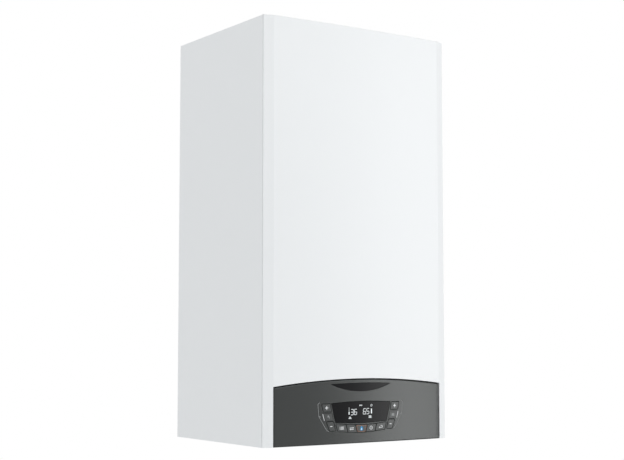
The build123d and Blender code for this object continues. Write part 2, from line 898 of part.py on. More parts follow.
# Pump: volute with the return connection, wet-rotor motor and impeller
volute_back = tail_y + volute_depth / 2
volute_front = tail_y - volute_depth / 2
pump_top = pump_z + volute_radius + 16
vent_x = half_width - 20
vent_foot = pump_z + volute_radius + 2


def pump_body():
    """Volute with the suction block below, the outlet above and the vent's seat at its side."""
    body = rod(volute_radius, (return_x, volute_back, pump_z), (return_x, volute_front, pump_z))
    body = chamfer(body.edges().filter_by(GeomType.CIRCLE), 3)
    body += rod(water_radius + 5, (return_x, tail_y, pump_z), (return_x, tail_y, pump_top))
    suction = block(return_x - 20, return_x + 20, volute_front, volute_back, block_bottom, pump_z - 20)
    body += fillet(suction.edges().filter_by(Axis.Z), 7)
    body += block(return_x, vent_x + 12, tail_y - 12, tail_y + 12, pump_z + 14, vent_foot)
    body += rod(10, (return_x - 18, tail_y, block_bottom + 24), (return_x - 44, tail_y, block_bottom + 24))
    body -= rod(pump_cavity, (return_x, tail_y + 8, pump_z), (return_x, volute_front - 1, pump_z))
    body -= rod(water_radius, (return_x, tail_y, pump_z), (return_x, tail_y, pump_top))
    body -= rod(water_radius, (return_x, tail_y, block_bottom - 1), (return_x, tail_y, pump_z))
    return body


def pump_impeller():
    """Closed impeller on its shaft."""
    radius = pump_cavity - 3
    wheel = rod(radius, (return_x, tail_y - 4, pump_z), (return_x, tail_y - 12, pump_z))
    wheel += tube(12, 9, (return_x, tail_y + 2, pump_z), (return_x, tail_y - 4, pump_z))
    for i in range(6):
        slot = block(12, radius + 1, tail_y - 9, tail_y - 7, -3, 3)
        wheel -= Pos(return_x, 0, pump_z) * Rot(0, 60 * i, 0) * slot
    wheel += rod(shaft_radius, (return_x, tail_y - 10, pump_z), (return_x, volute_front - 30, pump_z))
    return wheel


def pump_motor():
    """Motor can with a terminal box above and a vent screw in its nose."""
    back = volute_front
    nose = back - pump_motor_length
    can = rod(pump_motor_radius, (return_x, back - 6, pump_z), (return_x, nose, pump_z))
    can = chamfer(can.edges().sort_by(Axis.Y)[:1], 7)
    can += rod(pump_motor_radius + 3, (return_x, back, pump_z), (return_x, back - 6, pump_z))
    terminal = block(return_x - 30, return_x + 30, back - 14, back - 58, pump_z, pump_z + pump_motor_radius + 16)
    can += fillet(terminal.edges().filter_by(Axis.Z), 4)
    can += rod(10, (return_x, nose, pump_z), (return_x, nose - 4, pump_z))
    bore = shaft_radius + shaft_clearance
    return can - rod(bore, (return_x, back + 1, pump_z), (return_x, back - 32, pump_z))


def air_vent():
    """Automatic air vent: float bottle with a screwed cap."""
    foot = vent_foot
    bottle = rod(13, (vent_x, tail_y, foot), (vent_x, tail_y, foot + 42))
    bottle = chamfer(bottle.edges().sort_by(Axis.Z)[-1:], 4)
    bottle += rod(5, (vent_x, tail_y, foot + 42), (vent_x, tail_y, foot + 50))
    return bottle + rod(7, (vent_x, tail_y, foot + 46), (vent_x, tail_y, foot + 56))


drain_end = return_x - 44


def drain_knob():
    """Square-headed knob of the drain tap."""
    start = drain_end - slide_gap
    z = block_bottom + 24
    knob = rod(8, (start, tail_y, z), (start - 6, tail_y, z))
    return knob + block(start - 16, start - 6, tail_y - 5, tail_y + 5, z - 5, z + 5)


save("pump_body", pump_body())
save("pump_impeller", pump_impeller())
save("pump_motor", pump_motor())
save("air_vent", air_vent())
save("drain_knob", drain_knob())


def pipe_with_nuts(points, radius, nut_at, bend=bend_radius):
    """A pipe with a hexagon union nut at each named place along its runs."""
    pipe = bent_pipe(points, radius, pipe_wall, bend) if len(points) > 2 else tube(
        radius, radius - pipe_wall, points[0], points[1]
    )
    for (x, y, z), direction in nut_at:
        seat = Plane(origin=(x, y, z), z_dir=direction)
        nut = seat * extrude(RegularPolygon(radius + 6, 6), 14)
        pipe += nut - seat * Cylinder(radius - 0.5, 60)
    return pipe


return_route = [(return_x, tail_y, pump_top), (return_x, tail_y, return_port_z)]
return_nuts = [((return_x, tail_y, pump_top), (0, 0, 1)), ((return_x, tail_y, return_port_z - 14), (0, 0, 1))]
save("return_pipe", pipe_with_nuts(return_route, water_radius, return_nuts))


# Flow block with relief valve, sensor and the pipes that join it
flow_block_top = block_bottom + flow_block_height
flow_front = tail_y - flow_block_depth / 2


def flow_block():
    """Moulded flow block with seats for the vessel, the relief valve and the flow pipe."""
    half = flow_block_width / 2
    body = block(
        flow_x - half, flow_x + half, flow_front, tail_y + flow_block_depth / 2, block_bottom, flow_block_top
    )
    body = fillet(body.edges().filter_by(Axis.Z), 8)
    body += rod(14, (flow_x, flow_front, relief_z), (flow_x, flow_front - 6, relief_z))
    body += rod(water_radius + 5, (flow_x + 8, tail_y + 14, flow_block_top), (flow_x + 8, tail_y + 14, flow_block_top + 8))
    body += rod(9, (vessel_x, vessel_pipe_y, flow_block_top), (vessel_x, vessel_pipe_y, flow_block_top + 8))
    return body - rod(water_radius, (flow_x, tail_y, block_bottom - 1), (flow_x, tail_y, block_bottom + 30))


relief_z = block_bottom + 52
vessel_x = -vessel_left + vessel_thickness / 2
vessel_pipe_y = vessel_y - 14
relief_face = flow_front - 6


def relief_valve():
    """Brass safety valve whose outlet points down to the discharge pipe."""
    nose = relief_face - 26
    body = rod(12, (flow_x, relief_face, relief_z), (flow_x, nose, relief_z))
    body += rod(15, (flow_x, nose + 8, relief_z), (flow_x, nose, relief_z))
    body += rod(gas_radius + 4, (flow_x, relief_y, relief_z), (flow_x, relief_y, relief_z - 22))
    return body - rod(gas_radius, (flow_x, relief_y, relief_z - 4), (flow_x, relief_y, relief_z - 22))


def relief_knob():
    """Fluted cap that lifts the safety valve when it is turned."""
    start = relief_face - 26 - slide_gap
    cap = rod(14, (flow_x, start, relief_z), (flow_x, start - 14, relief_z))
    for i in range(8):
        angle = math.radians(45 * i)
        x = flow_x + 15 * math.cos(angle)
        z = relief_z + 15 * math.sin(angle)
        cap -= rod(3, (x, start + 1, z), (x, start - 15, z))
    return cap


save("flow_block", flow_block())
save("relief_valve", relief_valve())
save("relief_knob", relief_knob())
save("discharge_pipe", tail("relief", relief_z - 22))
save("water_tails", tail("flow", block_bottom), tail("return", block_bottom))
flow_down_x = -vessel_left + vessel_thickness + 13
flow_jog_z = 250.0
flow_route = [
    (flow_port_x, flow_port_y, flow_port_z),
    (flow_down_x, flow_port_y, flow_port_z),
    (flow_down_x, flow_port_y, flow_jog_z),
    (flow_x + 8, tail_y + 14, flow_jog_z - 30),
    (flow_x + 8, tail_y + 14, flow_block_top + 8),
]
flow_nuts = [((flow_x + 8, tail_y + 14, flow_block_top + 8), (0, 0, 1))]
save("flow_pipe", pipe_with_nuts(flow_route, water_radius, flow_nuts, 14.0))
vessel_route = [
    (vessel_x, vessel_y, vessel_bottom - 14),
    (vessel_x, vessel_y, vessel_bottom - 60),
    (vessel_x, vessel_pipe_y, vessel_bottom - 90),
    (vessel_x, vessel_pipe_y, flow_block_top + 8),
]
save("vessel_pipe", bent_pipe(vessel_route, 6.0, pipe_wall, 16.0))


# Condensate trap and its pipe
def condensate_trap():
    """Moulded trap bottle with a screwed foot, an inlet above and an outlet tail below."""
    top = trap_bottom + trap_height
    bottle = rod(trap_radius, (trap_x, trap_y, trap_bottom), (trap_x, trap_y, top))
    bottle = chamfer(bottle.edges().sort_by(Axis.Z)[-1:], 8)
    bottle += rod(trap_radius + 3, (trap_x, trap_y, trap_bottom), (trap_x, trap_y, trap_bottom + 16))
    bottle += rod(13, (trap_x, trap_y, top), (trap_x, trap_y, top + 16))
    bottle += tail("condensate", trap_bottom)
    return bottle


save("condensate_trap", condensate_trap())
trap_route = [
    (drum_x, trap_y, condensate_port_z),
    (drum_x, trap_y, condensate_port_z - 44),
    (trap_x, trap_y, condensate_port_z - 110),
    (trap_x, trap_y, trap_bottom + trap_height + 16),
]
save("trap_pipe", bent_pipe(trap_route, drain_radius, 1.5, 26.0))

# Clip-on sensors: water pressure on the flow block, temperatures on the pipes
sensor_y = tail_y + flow_block_depth / 2
clip_height = 18.0
flow_clip_z = flow_port_z - 120
return_clip_z = return_port_z - 120
pressure_sensor = rod(8, (flow_x, sensor_y, relief_z), (flow_x, sensor_y + 18, relief_z))
pressure_sensor += block(flow_x - 9, flow_x + 9, sensor_y + 18, sensor_y + 32, relief_z - 7, relief_z + 7)
flow_clip = block(
    flow_down_x + water_radius + slide_gap,
    flow_down_x + water_radius + 10,
    flow_port_y - 7,
    flow_port_y + 7,
    flow_clip_z,
    flow_clip_z + clip_height,
)
return_clip = block(
    return_x - 7,
    return_x + 7,
    tail_y - water_radius - 10,
    tail_y - water_radius - slide_gap,
    return_clip_z,
    return_clip_z + clip_height,
)
save("sensors", pressure_sensor, flow_clip, return_clip)


# Control fascia
def window_outline(grow):
    """Display window in front view: a trapezoid with an arched head and foot."""
    top = ThreePointArc(
        (-window_top_half - grow, window_top + grow),
        (0, window_top + window_arch + grow),
        (window_top_half + grow, window_top + grow),
    )
    foot = ThreePointArc(
        (window_bottom_half + grow, window_bottom - grow),
        (0, window_bottom - window_arch - grow),
        (-window_bottom_half - grow, window_bottom - grow),
    )
    return make_face([top, Line(top @ 1, foot @ 0), foot, Line(foot @ 1, top @ 0)])


def badge_outline(grow):
    """Crescent of the bare badge in front view."""
    half = badge_half + grow * 3
    top = ThreePointArc((-half, badge_end_height + grow), (0, badge_mid_height + grow), (half, badge_end_height + grow))
    low = ThreePointArc(top @ 1, (0, badge_low_height - grow), top @ 0)
    return make_face([top, low])


def row_key(left, right):
    """Corners of a bottom-row key between two dividers, on the row's shallow arc."""
    sag = 1 / (2 * row_arc)
    inset = key_gap / 2
    corners = []
    for x, drop in ((left + inset, 0), (right - inset, 0), (right - inset, row_height), (left + inset, row_height)):
        lean = row_lean * drop
        shift = math.copysign(min(abs(x), lean), x) if abs(x) > key_gap else 0
        corners.append((x - shift, row_top + sag * x * x - drop))
    return corners


side_key_corners = {
    "plus": [(67.5, 70.3), (84.6, 70.3), (81.0, 57.2), (64.6, 57.2)],
    "minus": [(60.4, 39.2), (74.6, 39.2), (68.2, 23.6), (56.4, 23.6)],
}
icon_tile_corners = [(63.9, 53.8), (80.4, 53.8), (77.0, 41.6), (61.2, 41.6)]


def reflected(corners):
    """The same outline on the left of the middle."""
    return [(-x, z) for x, z in reversed(corners)]


key_outlines = {
    "key_hot_plus": reflected(side_key_corners["plus"]),
    "key_hot_minus": reflected(side_key_corners["minus"]),
    "key_heat_plus": side_key_corners["plus"],
    "key_heat_minus": side_key_corners["minus"],
    "key_menu": row_key(-row_dividers[2], -row_dividers[1]),
    "key_mode": row_key(-row_dividers[1], -row_dividers[0]),
    "key_reset": row_key(-row_dividers[0], row_dividers[0]),
    "key_info": row_key(row_dividers[0], row_dividers[1]),
    "key_escape": row_key(row_dividers[1], row_dividers[2]),
}


def key_face(corners, grow=0.0):
    """A key's front outline with rounded corners, grown for its opening."""
    face = rounded(corners, key_corner)
    return offset(face, grow, kind=Kind.INTERSECTION) if grow else face


def centre_of(corners):
    """Middle of an outline."""
    return (sum(x for x, z in corners) / len(corners), sum(z for x, z in corners) / len(corners))


def key_openings():
    """Openings of all keys: neighbours in the bottom row share one."""
    cut = None
    for corners in key_outlines.values():
        prism = front_prism(key_face(corners, key_gap / 2 + 0.05))
        cut = prism if cut is None else cut + prism
    return cut


def fascia():
    """Moulded fascia: convex plate with a rim, a pocket for the badge and the key openings."""
    outline = arch_outline(fascia_half, fascia_end_height, fascia_mid_height, 0)
    inner = arch_outline(
        fascia_half - fascia_wall, fascia_end_height - fascia_wall, fascia_mid_height - fascia_wall, fascia_wall
    )
    whole = front_prism(outline)
    plate = whole & front_skin(0, fascia_plate, -10, 130)
    rim_zone = front_skin(0, fascia_rim, -10, 130)
    rim = (whole - front_prism(inner)) & rim_zone
    body = plate + rim
    body -= front_prism(badge_outline(0)) & front_skin(-5, badge_depth, 80, 120)
    body -= front_prism(window_outline(0))
    body -= key_openings()
    for corners in (icon_tile_corners, reflected(icon_tile_corners)):
        body += front_prism(key_face(corners)) & front_skin(-key_proud, 1, 30, 60)
    for x, z in board_posts:
        front = front_y(x) + fascia_plate - 0.5
        body += rod(3, (x, front, z), (x, board_front, z))
    return body


board_front = -(casing_depth - 8)
board_posts = [(-92.0, 76.0), (92.0, 76.0), (-72.0, 15.0), (72.0, 15.0)]
switch_height = 2.4
lcd_depth = 3.5


def key(corners):
    """Key cap with retaining flanges above and below, and a stem to its switch."""
    cap = front_prism(key_face(corners)) & front_skin(-key_proud, key_cap, 0, 90)
    flange_near = fascia_plate + key_stop
    x, z = centre_of(corners)
    half = min(abs(corners[1][0] - corners[0][0]), abs(corners[3][0] - corners[2][0])) / 2 - 2
    grown = front_prism(key_face(corners, key_flange)) & block(x - half, x + half, front_near, front_far, 0, 90)
    flange = grown & front_skin(flange_near, flange_near + key_flange_depth, 0, 90)
    stem_end = board_front - switch_height - key_travel - key_stop
    stem = rod(key_stem, (x, front_y(x) + flange_near, z), (x, stem_end, z))
    return cap + flange + stem


def display_window():
    """Window pane with a flange behind the fascia."""
    pane = front_prism(window_outline(-window_gap)) & front_skin(0.3, fascia_plate + window_thickness, 0, 90)
    seat = fascia_plate + lap_gap
    flange = front_prism(window_outline(window_flange)) & front_skin(seat, fascia_plate + window_thickness, 0, 90)
    return pane + flange


def display_board():
    """Display board: circuit board, display module and one switch under each key."""
    board = block(-98, 98, board_front, board_front + board_thickness, 10, 82)
    board += block(-window_bottom_half + 4, window_bottom_half - 4, board_front - lcd_depth, board_front, 38, 68)
    for corners in key_outlines.values():
        x, z = centre_of(corners)
        board += rod(1.8, (x, board_front - switch_height, z), (x, board_front, z))
        board += block(x - 3, x + 3, board_front - 1.2, board_front, z - 3, z + 3)
    return board


save("fascia", fascia())
save("display_window", display_window())
save("badge_inset", front_prism(badge_outline(-0.12)) & front_skin(0.05, badge_depth - 0.1, 80, 120))
save("display_board", display_board())
for key_name, key_corners in key_outlines.items():
    save(key_name, key(key_corners))


# Control box behind the fascia
def box_profile(inset, front):
    """Side view of the tub, shrunk by a wall."""
    back = -box_back - inset
    low = fascia_wall + lap_gap + inset
    return [
        (front, low),
        (front, box_top_front - inset),
        (back - 27 + inset, box_top_middle - inset),
        (back, box_top_back - inset),
        (back, low),
    ]


def control_box():
    """Tub behind the fascia, with hinge bosses, board posts and a service opening in its back."""
    half = fascia_half - fascia_wall - lap_gap
    front = -casing_depth + fascia_plate + lap_gap
    tub = side_prism(box_profile(0, front), -half, half)
    tub -= side_prism(box_profile(box_wall, front - 5), -half + box_wall, half - box_wall)
    for side in (-1, 1):
        wall = side * half
        inner = side * (half - box_wall - boss_length)
        tub += rod(boss_radius, (inner, hinge_y, hinge_z), (wall, hinge_y, hinge_z))
        bore = pin_radius + pin_clearance
        tub -= rod(bore, (inner - side, hinge_y, hinge_z), (wall + side, hinge_y, hinge_z))
    tub -= block(-service_half, service_half, -box_back - box_wall - 1, -box_back + 1, 20, 64)
    for x, z in main_board_posts:
        tub += rod(4, (x, -box_back - box_wall, z), (x, main_board_y, z))
    for x in (-150, 0, 150):
        tub += block(x - 1.5, x + 1.5, -260, -258, box_wall, 30)
    return tub


service_half = 118.0
main_board_y = -(box_back + 13)
main_board_posts = [(-130.0, 20.0), (130.0, 20.0), (-130.0, 70.0), (130.0, 70.0)]


def main_board():
    """Main board with transformer, relays, fuse and terminal strip."""
    board = block(-138, 138, main_board_y, main_board_y - board_thickness, 12, 76)
    face = main_board_y - board_thickness
    board += block(-120, -74, face, face - 34, 22, 62)
    for x in (-50, -28, -6, 16):
        board += block(x, x + 18, face, face - 16, 40, 56)
    board += block(44, 124, face, face - 14, 18, 32)
    board += rod(9, (60, face, 56), (60, face - 26, 56))
    return board


cover_top = 68.0
cover_thickness = 2.0


def box_cover():
    """Clip-on cover of the service opening, with louvres and three cable exits."""
    near = -box_back + cover_thickness
    cover = block(-service_half - 6, service_half + 6, -box_back, near, 16, cover_top)
    cover += block(-service_half + 1, service_half - 1, -box_back - box_wall, -box_back, 21, 63)
    for x in (-60, 0, 60):
        cover -= rod(8, (x, -box_back - 5, 42), (x, near + 1, 42))
        cover += tube(10, 8, (x, -box_back, 42), (x, near + 2, 42))
    return cover


save("control_box", control_box())
save("main_board", main_board())
save("box_cover", box_cover())


def hinge_pin():
    """Shouldered pin fixed in the tray's cheek and running in the box's boss."""
    tub_half = fascia_half - fascia_wall - lap_gap
    deep = tub_half - box_wall - boss_length + 2
    seat = tray_half - frame_sheet - lap_gap
    pin = rod(pin_radius, (deep, hinge_y, hinge_z), (tray_half, hinge_y, hinge_z))
    return pin + rod(pin_shoulder, (tub_half + 0.5, hinge_y, hinge_z), (seat, hinge_y, hinge_z))


save("hinge_pins", hinge_pin(), mirrored(hinge_pin()))

print("hinge", hinge_y, hinge_z - hang_height)
print("fan shaft", fan_x, fan_y)
print("pump shaft", return_x, pump_z - hang_height)
print("relief knob", flow_x, relief_face, relief_z - hang_height)
print("drain knob", drain_end, tail_y, block_bottom + 24 - hang_height)
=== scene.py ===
# %% [markdown]
# A wall-hung system boiler, dressed around its CAD frame.
# The frame holds every piece at its true place, so this script only makes the looks:
# the enamelled steel casing, the grey control fascia with its keys and display,
# and the finishes of the burner, pump and pipes inside.
# Lengths are written in millimetres and turned into metres where a mesh is made.

import json
import math

import bmesh
import bpy
from mathutils import Matrix, Vector
from mathutils.geometry import delaunay_2d_cdt


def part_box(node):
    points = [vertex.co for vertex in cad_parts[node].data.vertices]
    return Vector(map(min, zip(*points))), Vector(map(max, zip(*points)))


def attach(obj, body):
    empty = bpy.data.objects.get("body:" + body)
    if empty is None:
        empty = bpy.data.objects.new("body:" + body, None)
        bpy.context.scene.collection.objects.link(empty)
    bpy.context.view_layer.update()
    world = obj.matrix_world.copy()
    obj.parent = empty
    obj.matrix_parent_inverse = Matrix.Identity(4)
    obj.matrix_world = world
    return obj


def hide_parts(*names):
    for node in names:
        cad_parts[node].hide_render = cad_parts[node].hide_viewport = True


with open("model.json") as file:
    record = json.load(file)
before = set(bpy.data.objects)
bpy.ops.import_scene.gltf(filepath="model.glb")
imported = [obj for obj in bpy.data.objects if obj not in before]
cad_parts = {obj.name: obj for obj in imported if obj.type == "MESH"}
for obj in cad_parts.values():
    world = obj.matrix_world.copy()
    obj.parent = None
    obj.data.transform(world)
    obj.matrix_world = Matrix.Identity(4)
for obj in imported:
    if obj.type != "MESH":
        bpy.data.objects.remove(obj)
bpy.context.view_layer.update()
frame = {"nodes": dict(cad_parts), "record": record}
nodes = frame["nodes"]

# %% [markdown]
# The frame's origin is between the hanging slots, but a casing is easier to think of
# from its lower edge up. So heights here count from that edge, and one value, the
# casing's foot in the frame, brings them back.

# %% Driving dimensions
MM = 0.001
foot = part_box("front_panel")[0].z
casing_height = (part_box("front_panel")[1].z - foot) / MM
half_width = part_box("front_panel")[1].x / MM
face_middle = -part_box("front_panel")[0].y / MM
front_bulge = 4.0
bevel_width = 17.8
bevel_depth = 6.3
sheet = 1.0
fascia_gap = 1.5
flat_half = half_width - bevel_width
edge_depth = face_middle - front_bulge
corner_y = bevel_depth - edge_depth
panel_back_y = corner_y + sheet
bulge_radius = (flat_half**2 + front_bulge**2) / (2 * front_bulge)
print("casing", round(2 * half_width), "x", round(casing_height), "mm, foot at", round(foot, 4))


def face_y(x):
    """The y of the convex front face above a given x, in mm."""
    return bulge_radius - math.sqrt(bulge_radius**2 - x * x) - face_middle


# %% [markdown]
# The camera stands low and to the left of the boiler and looks slightly up, with a long
# lens, because the casing's upright edges run almost parallel in the picture. Its place
# was found by fitting the casing's six visible corners to the photograph.

# %% Camera
camera_place = Vector((-1.3736, -2.1862, -0.5019))
camera_yaw = math.radians(34.08)
camera_pitch = math.radians(4.67)
view_line = Vector(
    (
        math.sin(camera_yaw) * math.cos(camera_pitch),
        math.cos(camera_yaw) * math.cos(camera_pitch),
        math.sin(camera_pitch),
    )
)
camera = bpy.data.objects.new("camera", bpy.data.cameras.new("camera"))
camera.data.lens = 75.05
camera.data.sensor_width = 36.0
camera.location = camera_place
camera.rotation_euler = view_line.to_track_quat("-Z", "Y").to_euler()
bpy.context.collection.objects.link(camera)
bpy.context.scene.camera = camera
print("camera looks along", [round(v, 3) for v in view_line])

# %% [markdown]
# The light is that of a white studio: an even sky, a tall soft lamp to the right of the
# front, which gives the grey fascia its bright band, and a weaker one at the left. The
# background is white only to the camera and to reflections and stays dim as a light.

# %% Sky and floor
scene = bpy.context.scene
scene.view_settings.view_transform = "Standard"
sky_strength = 0.62


def add_node(tree, kind, x=0, y=0, **sockets):
    """A shader node with its unlinked inputs set by name."""
    made = tree.nodes.new(kind)
    made.location = (x, y)
    for name, value in sockets.items():
        made.inputs[name.replace("_", " ")].default_value = value
    return made


def seen_rays(tree):
    """One for the rays that show a surface in the picture or in a reflection, else zero."""
    kinds = add_node(tree, "ShaderNodeLightPath", -700, 400)
    total = kinds.outputs["Is Camera Ray"]
    for name in ("Is Glossy Ray", "Is Transmission Ray"):
        larger = add_node(tree, "ShaderNodeMath", -450, 400)
        larger.operation = "MAXIMUM"
        tree.links.new(total, larger.inputs[0])
        tree.links.new(kinds.outputs[name], larger.inputs[1])
        total = larger.outputs[0]
    return total


world = bpy.data.worlds.new("studio")
world.use_nodes = True
scene.world = world
sky_tree = world.node_tree
sky_tree.nodes.clear()
sky_out = add_node(sky_tree, "ShaderNodeOutputWorld", 600)
sky_light = add_node(
    sky_tree, "ShaderNodeBackground", 200, Color=(0.95, 0.975, 1.0, 1), Strength=sky_strength
)
sky_seen = add_node(sky_tree, "ShaderNodeBackground", 200, -150, Color=(1, 1, 1, 1), Strength=1.0)
sky_pick = add_node(sky_tree, "ShaderNodeMixShader", 400)
sky_tree.links.new(seen_rays(sky_tree), sky_pick.inputs["Fac"])
sky_tree.links.new(sky_light.outputs[0], sky_pick.inputs[1])
sky_tree.links.new(sky_seen.outputs[0], sky_pick.inputs[2])
sky_tree.links.new(sky_pick.outputs[0], sky_out.inputs["Surface"])

floor_drop = 1.0
floor_half = 40.0
floor_mesh = bpy.data.meshes.new("floor")
floor_z = foot - floor_drop
floor_corners = [(-1, -1), (1, -1), (1, 1), (-1, 1)]
floor_mesh.from_pydata(
    [(x * floor_half, y * floor_half, floor_z) for x, y in floor_corners], [], [(0, 1, 2, 3)]
)
floor = bpy.data.objects.new("floor", floor_mesh)
bpy.context.collection.objects.link(floor)
floor_paint = bpy.data.materials.new("studio_floor")
floor_paint.use_nodes = True
floor_shader = floor_paint.node_tree.nodes["Principled BSDF"]
floor_shader.inputs["Base Color"].default_value = (0.9, 0.9, 0.9, 1)
floor_shader.inputs["Roughness"].default_value = 0.9
floor_tree = floor_paint.node_tree
floor_spot = add_node(floor_tree, "ShaderNodeTexCoord", -900)
floor_reach = add_node(floor_tree, "ShaderNodeVectorMath", -700)
floor_reach.operation = "LENGTH"
floor_fade = add_node(floor_tree, "ShaderNodeMapRange", -500, From_Min=1.6, From_Max=4.5)
floor_fade.interpolation_type = "SMOOTHSTEP"
floor_share = add_node(floor_tree, "ShaderNodeMath", -200, 300)
floor_share.operation = "MULTIPLY"
floor_white = add_node(floor_tree, "ShaderNodeEmission", 0, -300, Color=(1, 1, 1, 1), Strength=1.0)
floor_mix = add_node(floor_tree, "ShaderNodeMixShader", 400)
floor_tree.links.new(floor_spot.outputs["Object"], floor_reach.inputs[0])
floor_tree.links.new(floor_reach.outputs["Value"], floor_fade.inputs["Value"])
floor_tree.links.new(floor_fade.outputs["Result"], floor_share.inputs[0])
floor_tree.links.new(seen_rays(floor_tree), floor_share.inputs[1])
floor_tree.links.new(floor_share.outputs[0], floor_mix.inputs["Fac"])
floor_tree.links.new(floor_shader.outputs[0], floor_mix.inputs[1])
floor_tree.links.new(floor_white.outputs[0], floor_mix.inputs[2])
floor_tree.links.new(floor_mix.outputs[0], floor_tree.nodes["Material Output"].inputs["Surface"])
floor_mesh.materials.append(floor_paint)


def soft_lamp(name, azimuth, height, distance, width, tall, power):
    """A rectangular lamp that faces the casing from an azimuth, counted from the front to the right."""
    lamp_data = bpy.data.lights.new(name, "AREA")
    lamp_data.shape = "RECTANGLE"
    lamp_data.size = width
    lamp_data.size_y = tall
    lamp_data.energy = power
    lamp = bpy.data.objects.new(name, lamp_data)
    turn = math.radians(azimuth)
    lamp.location = (distance * math.sin(turn), -distance * math.cos(turn), height)
    aim = Vector((0, -0.15, -0.32)) - lamp.location
    lamp.rotation_euler = aim.to_track_quat("-Z", "Y").to_euler()
    bpy.context.collection.objects.link(lamp)
    return lamp


soft_lamp("right_lamp", 39.0, -0.2, 2.6, 0.55, 2.4, 14.0)
soft_lamp("front_lamp", 8.0, 0.9, 3.0, 2.4, 1.2, 14.0)
soft_lamp("left_lamp", -75.0, 0.4, 2.8, 1.8, 1.8, 14.0)
soft_lamp("back_lamp", 170.0, 0.9, 3.0, 2.0, 1.4, 14.0)
print("lamps:", [lamp.name for lamp in bpy.data.lights])

# %% [markdown]
# Every finish starts the same way: one Principled shader, a slight wander of the colour
# and a fine bump, both driven by noise on Object coordinates. A finished piece sits at
# the origin, so these coordinates are metres in the frame, and a noise scale of 1000
# makes grains of about a millimetre. Constants go straight on the shader's own sockets.


# %% A base for all finishes
def finish(
    name, colour, roughness, metallic=0.0, wander=0.04, grain=900.0, relief=0.02, coat=0.0, stretch=(
        1, 1, 1
    )
):
    """A procedural finish: colour wander and grain bump around one Principled shader."""
    material = bpy.data.materials.new(name)
    material.use_nodes = True
    tree = material.node_tree
    shader = tree.nodes["Principled BSDF"]
    shader.inputs["Metallic"].default_value = metallic
    shader.inputs["Coat Weight"].default_value = coat
    shader.inputs["Coat Roughness"].default_value = 0.08
    where = add_node(tree, "ShaderNodeTexCoord", -1000)
    spread = add_node(tree, "ShaderNodeMapping", -820, Scale=stretch)
    tree.links.new(where.outputs["Object"], spread.inputs["Vector"])
    clouds = add_node(tree, "ShaderNodeTexNoise", -640, 200, Scale=9.0, Detail=3.0)
    fine = add_node(tree, "ShaderNodeTexNoise", -640, -100, Scale=grain, Detail=2.0)
    for noise in (clouds, fine):
        tree.links.new(spread.outputs[0], noise.inputs["Vector"])
    tint = add_node(tree, "ShaderNodeMix", -300, 200)
    tint.data_type = "RGBA"
    darker = [c * (1 - wander) for c in colour] + [1]
    lighter = [min(1.0, c * (1 + wander)) for c in colour] + [1]
    tint.inputs["A"].default_value = darker
    tint.inputs["B"].default_value = lighter
    tree.links.new(clouds.outputs["Fac"], tint.inputs["Factor"])
    tree.links.new(tint.outputs["Result"], shader.inputs["Base Color"])
    gloss = add_node(tree, "ShaderNodeMapRange", -300, -20)
    gloss.inputs["To Min"].default_value = roughness * 0.9
    gloss.inputs["To Max"].default_value = min(1.0, roughness * 1.1)
    tree.links.new(clouds.outputs["Fac"], gloss.inputs["Value"])
    tree.links.new(gloss.outputs["Result"], shader.inputs["Roughness"])
    bump = add_node(tree, "ShaderNodeBump", -300, -220, Strength=relief, Distance=0.001)
    tree.links.new(fine.outputs["Fac"], bump.inputs["Height"])
    tree.links.new(bump.outputs[0], shader.inputs["Normal"])
    return material


# %% [markdown]
# The outside needs few finishes: satin powder coat on the panels, a grey lacquer with a
# little metal flake on the fascia, gloss black on the window and badge, and inks.

# %% Finishes of the outside
white_coat = finish("white_powder_coat", (0.86, 0.87, 0.87), 0.34, wander=0.006, grain=700, relief=0.035)
fascia_lacquer = finish("grey_flake_lacquer", (0.034, 0.037, 0.036), 0.2, 0.34, 0.02, 2600, 0.03)
key_lacquer = finish("key_grey_lacquer", (0.044, 0.047, 0.046), 0.3, 0.3, 0.02, 2600, 0.03)
gloss_black = finish("gloss_black", (0.004, 0.004, 0.005), 0.16, 0.0, 0.05, 400, 0.004)
gloss_black.node_tree.nodes["Principled BSDF"].inputs["Specular IOR Level"].default_value = 0.13
white_ink = finish("white_ink", (0.82, 0.83, 0.83), 0.5, 0, 0.03, 1500, 0.02)
pale_ink = finish("pale_grey_ink", (0.36, 0.37, 0.37), 0.5, 0, 0.03, 1500, 0.02)
blue_ink = finish("flame_blue_ink", (0.03, 0.30, 0.62), 0.45, 0, 0.06, 1500, 0.02)
amber_ink = finish("amber_line_ink", (0.36, 0.15, 0.08), 0.5, 0, 0.05, 1500, 0.02)
lit_segment = finish("lit_segment", (0.75, 0.78, 0.78), 0.4, 0, 0.03, 1500, 0.01)
lit_segment.node_tree.nodes["Principled BSDF"].inputs["Emission Color"].default_value = (
    0.8, 0.86, 0.87, 1
)
lit_segment.node_tree.nodes["Principled BSDF"].inputs["Emission Strength"].default_value = 0.35
# A near-black finish used only as painted shade: a thin ring round each tile that stands for the shadow of a
# gap.
gap_shade_paint = finish("painted_gap_shade", (0.02, 0.02, 0.02), 0.8, 0, 0.05, 800, 0.05)

# %% [markdown]
# Meshes are collected in a bmesh, point by point, and turned into one object at the end.
# Shading is smooth except over corners sharper than a set angle, and the normals are
# weighted by face size, so that a rounded edge doesn't stain the flat next to it.


# %% From points to a finished piece
def join_rings(bm, low, high):
    """A band of four-sided faces between two rings of points."""
    for k in range(len(low)):
        n = (k + 1) % len(low)
        bm.faces.new((low[k], low[n], high[n], high[k]))


def at(x, y, z):
    """A point given in mm from the casing's foot, in frame metres."""
    return Vector((x * MM, y * MM, foot + z * MM))


